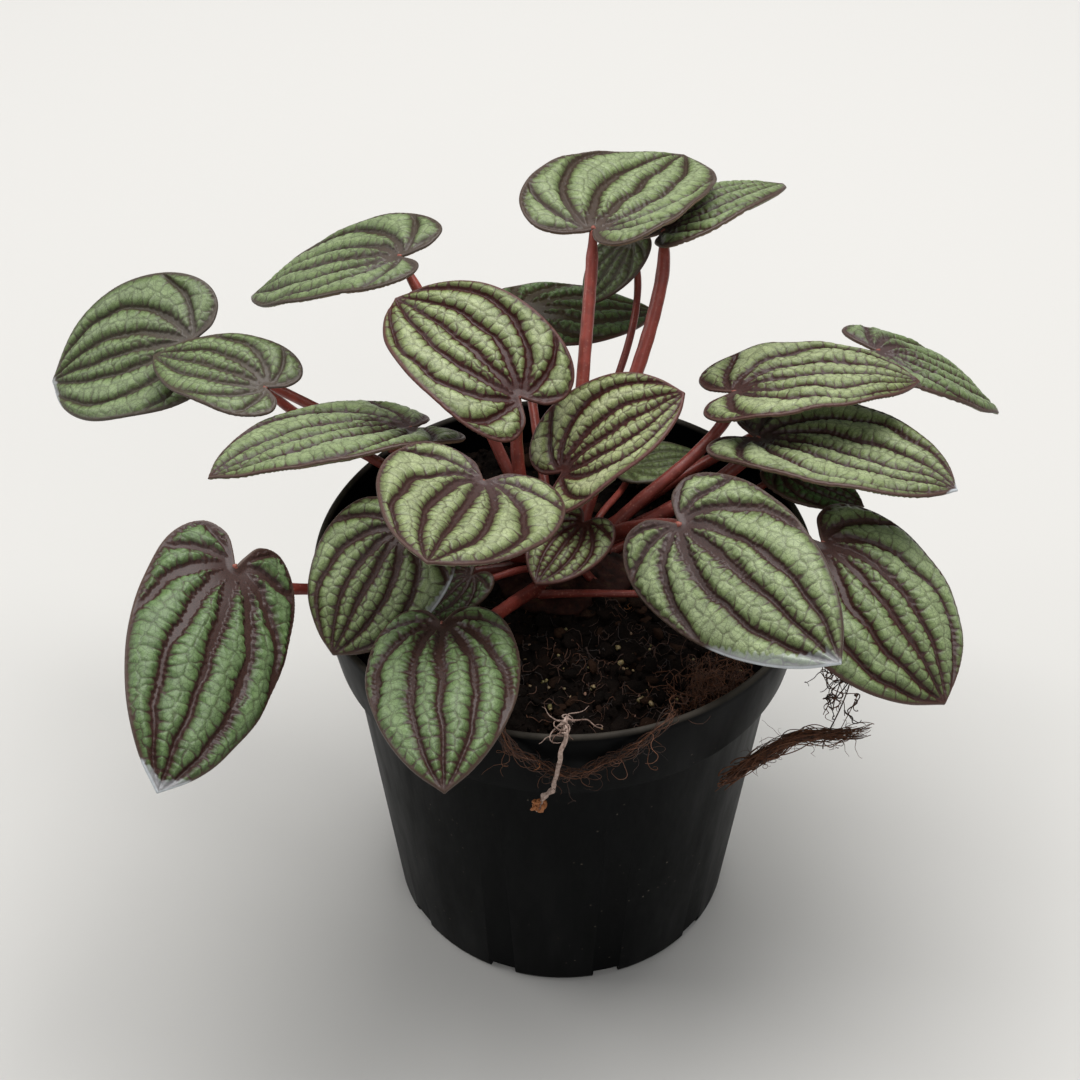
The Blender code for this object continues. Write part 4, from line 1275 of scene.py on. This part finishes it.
def make_pot(settings):
    rim, _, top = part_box("pot")[1]
    ledge = top - settings.collar
    collar_foot = rim * COLLAR_FOOT_SHARE
    body_top = rim * BODY_TOP_SHARE
    foot = rim * FOOT_SHARE
    wall = settings.wall
    corner = 0.6 * MM
    inner_ledge = body_top - wall
    profile = [(0.0, POT_FLOOR), (foot - wall - 1.5 * MM, POT_FLOOR),
               (foot - wall - 0.2 * MM, POT_FLOOR + 0.6 * MM), (foot - wall + 0.3 * MM, 2.0 * POT_FLOOR),
               (inner_ledge, ledge + wall),
               (collar_foot - wall - corner, ledge + wall), (collar_foot - wall, ledge + wall + corner),
               (rim - wall - 0.3 * MM, top - 1.4 * MM)]
    lip = [(rim - wall / 2.0 - 0.15 * MM + (wall / 2.0 + 0.15 * MM) * math.cos(a),
            top - 0.75 * MM + 0.75 * MM * math.sin(a)) for a in np.linspace(math.pi, 0.0, 9)]
    profile += lip
    profile += [(rim - 0.25 * MM, top - 2.4 * MM), (collar_foot + 0.1 * MM, ledge + corner),
                (collar_foot - 0.1 * MM, ledge + 0.15 * MM), (collar_foot - corner, ledge),
                (body_top + 0.5 * MM, ledge), (body_top, ledge - 0.5 * MM),
                (foot + 0.16 * MM, 1.4 * MM), (foot - 0.3 * MM, 0.4 * MM), (foot - 1.1 * MM, 0.0),
                (foot - 9.0 * MM, 0.0), (foot - 9.5 * MM, 0.4 * MM), (foot - 12.0 * MM, 0.4 * MM),
                (foot - 12.5 * MM, 0.0), (0.0, 0.0)]
    profile = np.array(profile)
    steps = POT_SIDES
    turn = np.linspace(0.0, 2.0 * np.pi, steps, endpoint=False)
    radius, height = profile[1:-1].T
    rings = np.stack((np.outer(radius, np.cos(turn)), np.outer(radius, np.sin(turn)),
                      np.repeat(height[:, None], steps, axis=1)), axis=2)
    points = np.vstack((rings.reshape(-1, 3), [(0.0, 0.0, POT_FLOOR), (0.0, 0.0, 0.0)]))
    faces = []
    for k in range(len(radius) - 1):
        for i in range(steps):
            j = (i + 1) % steps
            faces.append((k * steps + i, (k + 1) * steps + i, (k + 1) * steps + j, k * steps + j))
    last = (len(radius) - 1) * steps
    for i in range(steps):
        j = (i + 1) % steps
        faces.append((len(points) - 2, i, j))
        faces.append((len(points) - 1, last + j, last + i))
    piece = add_piece("nursery_pot", points, faces, (pot_material(settings),))
    cut_slots(piece, foot, settings)
    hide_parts("pot")


def cut_slots(pot, foot, settings):
    """Cuts the drain slots through the edge of the foot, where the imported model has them."""
    shape = bmesh.new()
    for i in range(settings.slots):
        turn = Matrix.Rotation(SLOT_PHASE + i * math.tau / settings.slots, 4, "Z")
        size = Matrix.Diagonal(SLOT_SIZE)
        bmesh.ops.create_cube(shape, size=1.0, matrix=turn @ Matrix.Translation((foot, 0, 0)) @ size)
    mesh = bpy.data.meshes.new("slot_cutter")
    shape.to_mesh(mesh)
    shape.free()
    cutter = bpy.data.objects.new("slot_cutter", mesh)
    bpy.context.scene.collection.objects.link(cutter)
    cut = pot.modifiers.new("Slots", "BOOLEAN")
    cut.operation = "DIFFERENCE"
    cut.solver = "EXACT"
    cut.object = cutter
    bpy.context.view_layer.update()
    shown = pot.evaluated_get(bpy.context.evaluated_depsgraph_get())
    cut_mesh = bpy.data.meshes.new_from_object(shown)
    pot.modifiers.clear()
    pot.data = cut_mesh
    cut_mesh.shade_smooth()
    cut_mesh.set_sharp_from_angle(angle=math.radians(40.0))
    bpy.data.objects.remove(cutter)


def pot_material(settings):
    """Polypropylene, injection moulded in black: faint eggshell grain, soft sheen, a little dust, and a
    painted highlight along the top of the lip.
    """
    mat, tree = new_material("moulded_black_polypropylene")
    place = add(tree, "ShaderNodeTexCoord")
    # The mould's grain is about 0.4 mm; rubbed marks are about 7 mm wide and run down the wall.
    grain = add(tree, "ShaderNodeTexNoise",
                {"Vector": place.outputs["Object"], "Scale": 1 / (0.4 * MM), "Detail": 2.0})
    stretch = add(tree, "ShaderNodeMapping", {"Vector": place.outputs["Object"], "Scale": (1.0, 1.0, 0.22)})
    rub = add(tree, "ShaderNodeTexNoise", {"Vector": stretch.outputs[0], "Scale": 1 / (7.0 * MM),
                                           "Detail": 5.0, "Roughness": 0.6})
    specks = add(tree, "ShaderNodeTexVoronoi", {"Vector": place.outputs["Object"], "Scale": 1 / (2.6 * MM)})
    cloud = add(tree, "ShaderNodeTexNoise",
                {"Vector": place.outputs["Object"], "Scale": 1 / (16.0 * MM), "Detail": 3.0})
    fleck = add(tree, "ShaderNodeMapRange", {"Value": specks.outputs["Distance"], "From Min": 0.05,
                                             "From Max": 0.11, "To Min": 1.0, "To Max": 0.0})
    where = add(tree, "ShaderNodeMapRange", {"Value": cloud.outputs["Fac"], "From Min": 0.52,
                                             "From Max": 0.68, "To Min": 0.0, "To Max": 0.5})
    dots = add(tree, "ShaderNodeMath", {0: fleck.outputs[0], 1: where.outputs[0]}, operation="MULTIPLY")
    film = add(tree, "ShaderNodeMapRange", {"Value": rub.outputs["Fac"], "From Min": 0.45,
                                            "From Max": 0.75, "To Min": 0.0, "To Max": 0.004})
    dust_and_lip_highlight = add(tree, "ShaderNodeMath", {0: dots.outputs[0], 1: film.outputs[0]}, operation="ADD")
    # Painted highlight: the top of the lip is mixed patchily toward the dust colour.
    spot = add(tree, "ShaderNodeSeparateXYZ", {"Vector": place.outputs["Object"]})
    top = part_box("pot")[1].z
    lip = add(tree, "ShaderNodeMapRange", {"Value": spot.outputs["Z"], "From Min": top - 0.9 * MM,
                                           "From Max": top - 0.2 * MM, "To Min": 0.0, "To Max": 0.3})
    lip_highlight = add(tree, "ShaderNodeMath", {0: lip.outputs[0], 1: rub.outputs["Fac"]}, operation="MULTIPLY")
    dust_and_lip_highlight = add(tree, "ShaderNodeMath", {0: dust_and_lip_highlight.outputs[0], 1: lip_highlight.outputs[0]}, operation="ADD")
    colour = add(tree, "ShaderNodeMix", {"Factor": dust_and_lip_highlight.outputs[0], "A": (*settings.colour, 1.0),
                                         "B": (*settings.dust_and_lip_highlight, 1.0)}, data_type="RGBA")
    rough = add(tree, "ShaderNodeMapRange", {"Value": rub.outputs["Fac"], "From Min": 0.3, "From Max": 0.7,
                                             "To Min": 0.34, "To Max": 0.5})
    bump = add(tree, "ShaderNodeBump", {"Strength": 0.12, "Distance": 0.05 * MM,
                                        "Height": grain.outputs["Fac"]})
    shader = add(tree, "ShaderNodeBsdfPrincipled",
                 {"Base Color": colour.outputs["Result"], "Roughness": rough.outputs[0], "IOR": 1.49,
                  "Specular IOR Level": 0.03, "Normal": bump.outputs[0]})
    add(tree, "ShaderNodeOutputMaterial", {"Surface": shader.outputs[0]})
    return mat


# ---- stage ------------------------------------------------------------------------------------
# Each light's name, place and size in metres, and power in watts.
LIGHTS = (("overcast_above", (0.15, 0.35, 1.1), 1.0, 17.0),
          ("window_left", (-1.0, 0.2, 0.7), 0.7, 5.0),
          ("front_fill", (0.3, -1.1, 0.9), 0.8, 3.5))
LIT_POINT = Vector((0.0, 0.0, 0.09))               # the lights face this
CAMERA_AIM = (-5.09 * MM, 19.54 * MM, 81.56 * MM)  # the camera looks at this
SENSOR = 36.0              # width of the camera's sensor, in millimetres
FLOOR_REACH = 30.0


class PEPEROMIA_OT_stage(bpy.types.Operator):
    """Set the pale floor, the soft studio light and the camera"""
    bl_idname = "peperomia.stage"
    bl_label = "Stage"

    def execute(self, context):
        settings = context.scene.peperomia_stage
        add_floor(settings)
        for light in LIGHTS:
            add_light(*light)
        world = bpy.data.worlds.new("studio_air")
        world.use_nodes = True
        world.node_tree.nodes["Background"].inputs["Color"].default_value = (*srgb("#D9DCE0"), 1.0)
        world.node_tree.nodes["Background"].inputs["Strength"].default_value = 0.32
        context.scene.world = world
        context.scene.view_settings.view_transform = "Standard"
        add_camera(context, settings)
        return {"FINISHED"}


def add_floor(settings):
    mesh = bpy.data.meshes.new("studio_floor")
    ends = ((-1, -1), (1, -1), (1, 1), (-1, 1))
    mesh.from_pydata([(x * FLOOR_REACH, y * FLOOR_REACH, 0.0) for x, y in ends], [], [(0, 1, 2, 3)])
    floor = bpy.data.objects.new("studio_floor", mesh)
    bpy.context.scene.collection.objects.link(floor)
    mat, tree = new_material("matte_paper_backdrop")
    shader = add(tree, "ShaderNodeBsdfPrincipled", {"Base Color": (*settings.floor, 1.0), "Roughness": 0.9})
    add(tree, "ShaderNodeOutputMaterial", {"Surface": shader.outputs[0]})
    mesh.materials.append(mat)


def add_light(name, place, size, power):
    """A square soft light that faces the plant."""
    light = bpy.data.lights.new(name, "AREA")
    light.size = size
    light.energy = power
    lamp = bpy.data.objects.new(name, light)
    lamp.location = place
    lamp.rotation_euler = (LIT_POINT - lamp.location).to_track_quat("-Z", "Y").to_euler()
    bpy.context.scene.collection.objects.link(lamp)


def add_camera(context, settings):
    camera = bpy.data.cameras.new("camera")
    camera.lens = settings.lens
    camera.sensor_width = SENSOR
    holder = bpy.data.objects.new("camera", camera)
    reach = settings.distance
    holder.location = (CAMERA_AIM[0], CAMERA_AIM[1] - reach * math.cos(settings.elevation),
                       CAMERA_AIM[2] + reach * math.sin(settings.elevation))
    holder.rotation_euler = (math.pi / 2.0 - settings.elevation, 0.0, 0.0)
    context.scene.collection.objects.link(holder)
    context.scene.camera = holder


# ---- panel and registration ---------------------------------------------------------------------
STEPS = (PEPEROMIA_OT_leaves, PEPEROMIA_OT_stalks, PEPEROMIA_OT_soil, PEPEROMIA_OT_roots,
         PEPEROMIA_OT_pot, PEPEROMIA_OT_stage)
GROUPS = {"peperomia_leaf": LeafSettings, "peperomia_stalk": StalkSettings,
          "peperomia_soil": SoilSettings, "peperomia_pot": PotSettings,
          "peperomia_stage": StageSettings}


class PEPEROMIA_PT_panel(bpy.types.Panel):
    bl_idname = "PEPEROMIA_PT_panel"
    bl_label = "Potted peperomia"
    bl_space_type = "VIEW_3D"
    bl_region_type = "UI"
    bl_category = "Peperomia"

    def draw(self, context):
        for step in STEPS:
            self.layout.operator(step.bl_idname)
        for key, group in GROUPS.items():
            box = self.layout.box()
            for name in group.__annotations__:
                box.prop(getattr(context.scene, key), name)


CLASSES = (*GROUPS.values(), *STEPS, PEPEROMIA_PT_panel)


def register():
    for cls in CLASSES:
        bpy.utils.register_class(cls)
    for key, group in GROUPS.items():
        setattr(bpy.types.Scene, key, PointerProperty(type=group))


def unregister():
    for key in GROUPS:
        delattr(bpy.types.Scene, key)
    for cls in reversed(CLASSES):
        bpy.utils.unregister_class(cls)


def main():
    register()
    bpy.ops.peperomia.leaves()
    bpy.ops.peperomia.stalks()
    bpy.ops.peperomia.soil()
    bpy.ops.peperomia.roots()
    bpy.ops.peperomia.pot()
    bpy.ops.peperomia.stage()


if __name__ == "__main__":
    main()
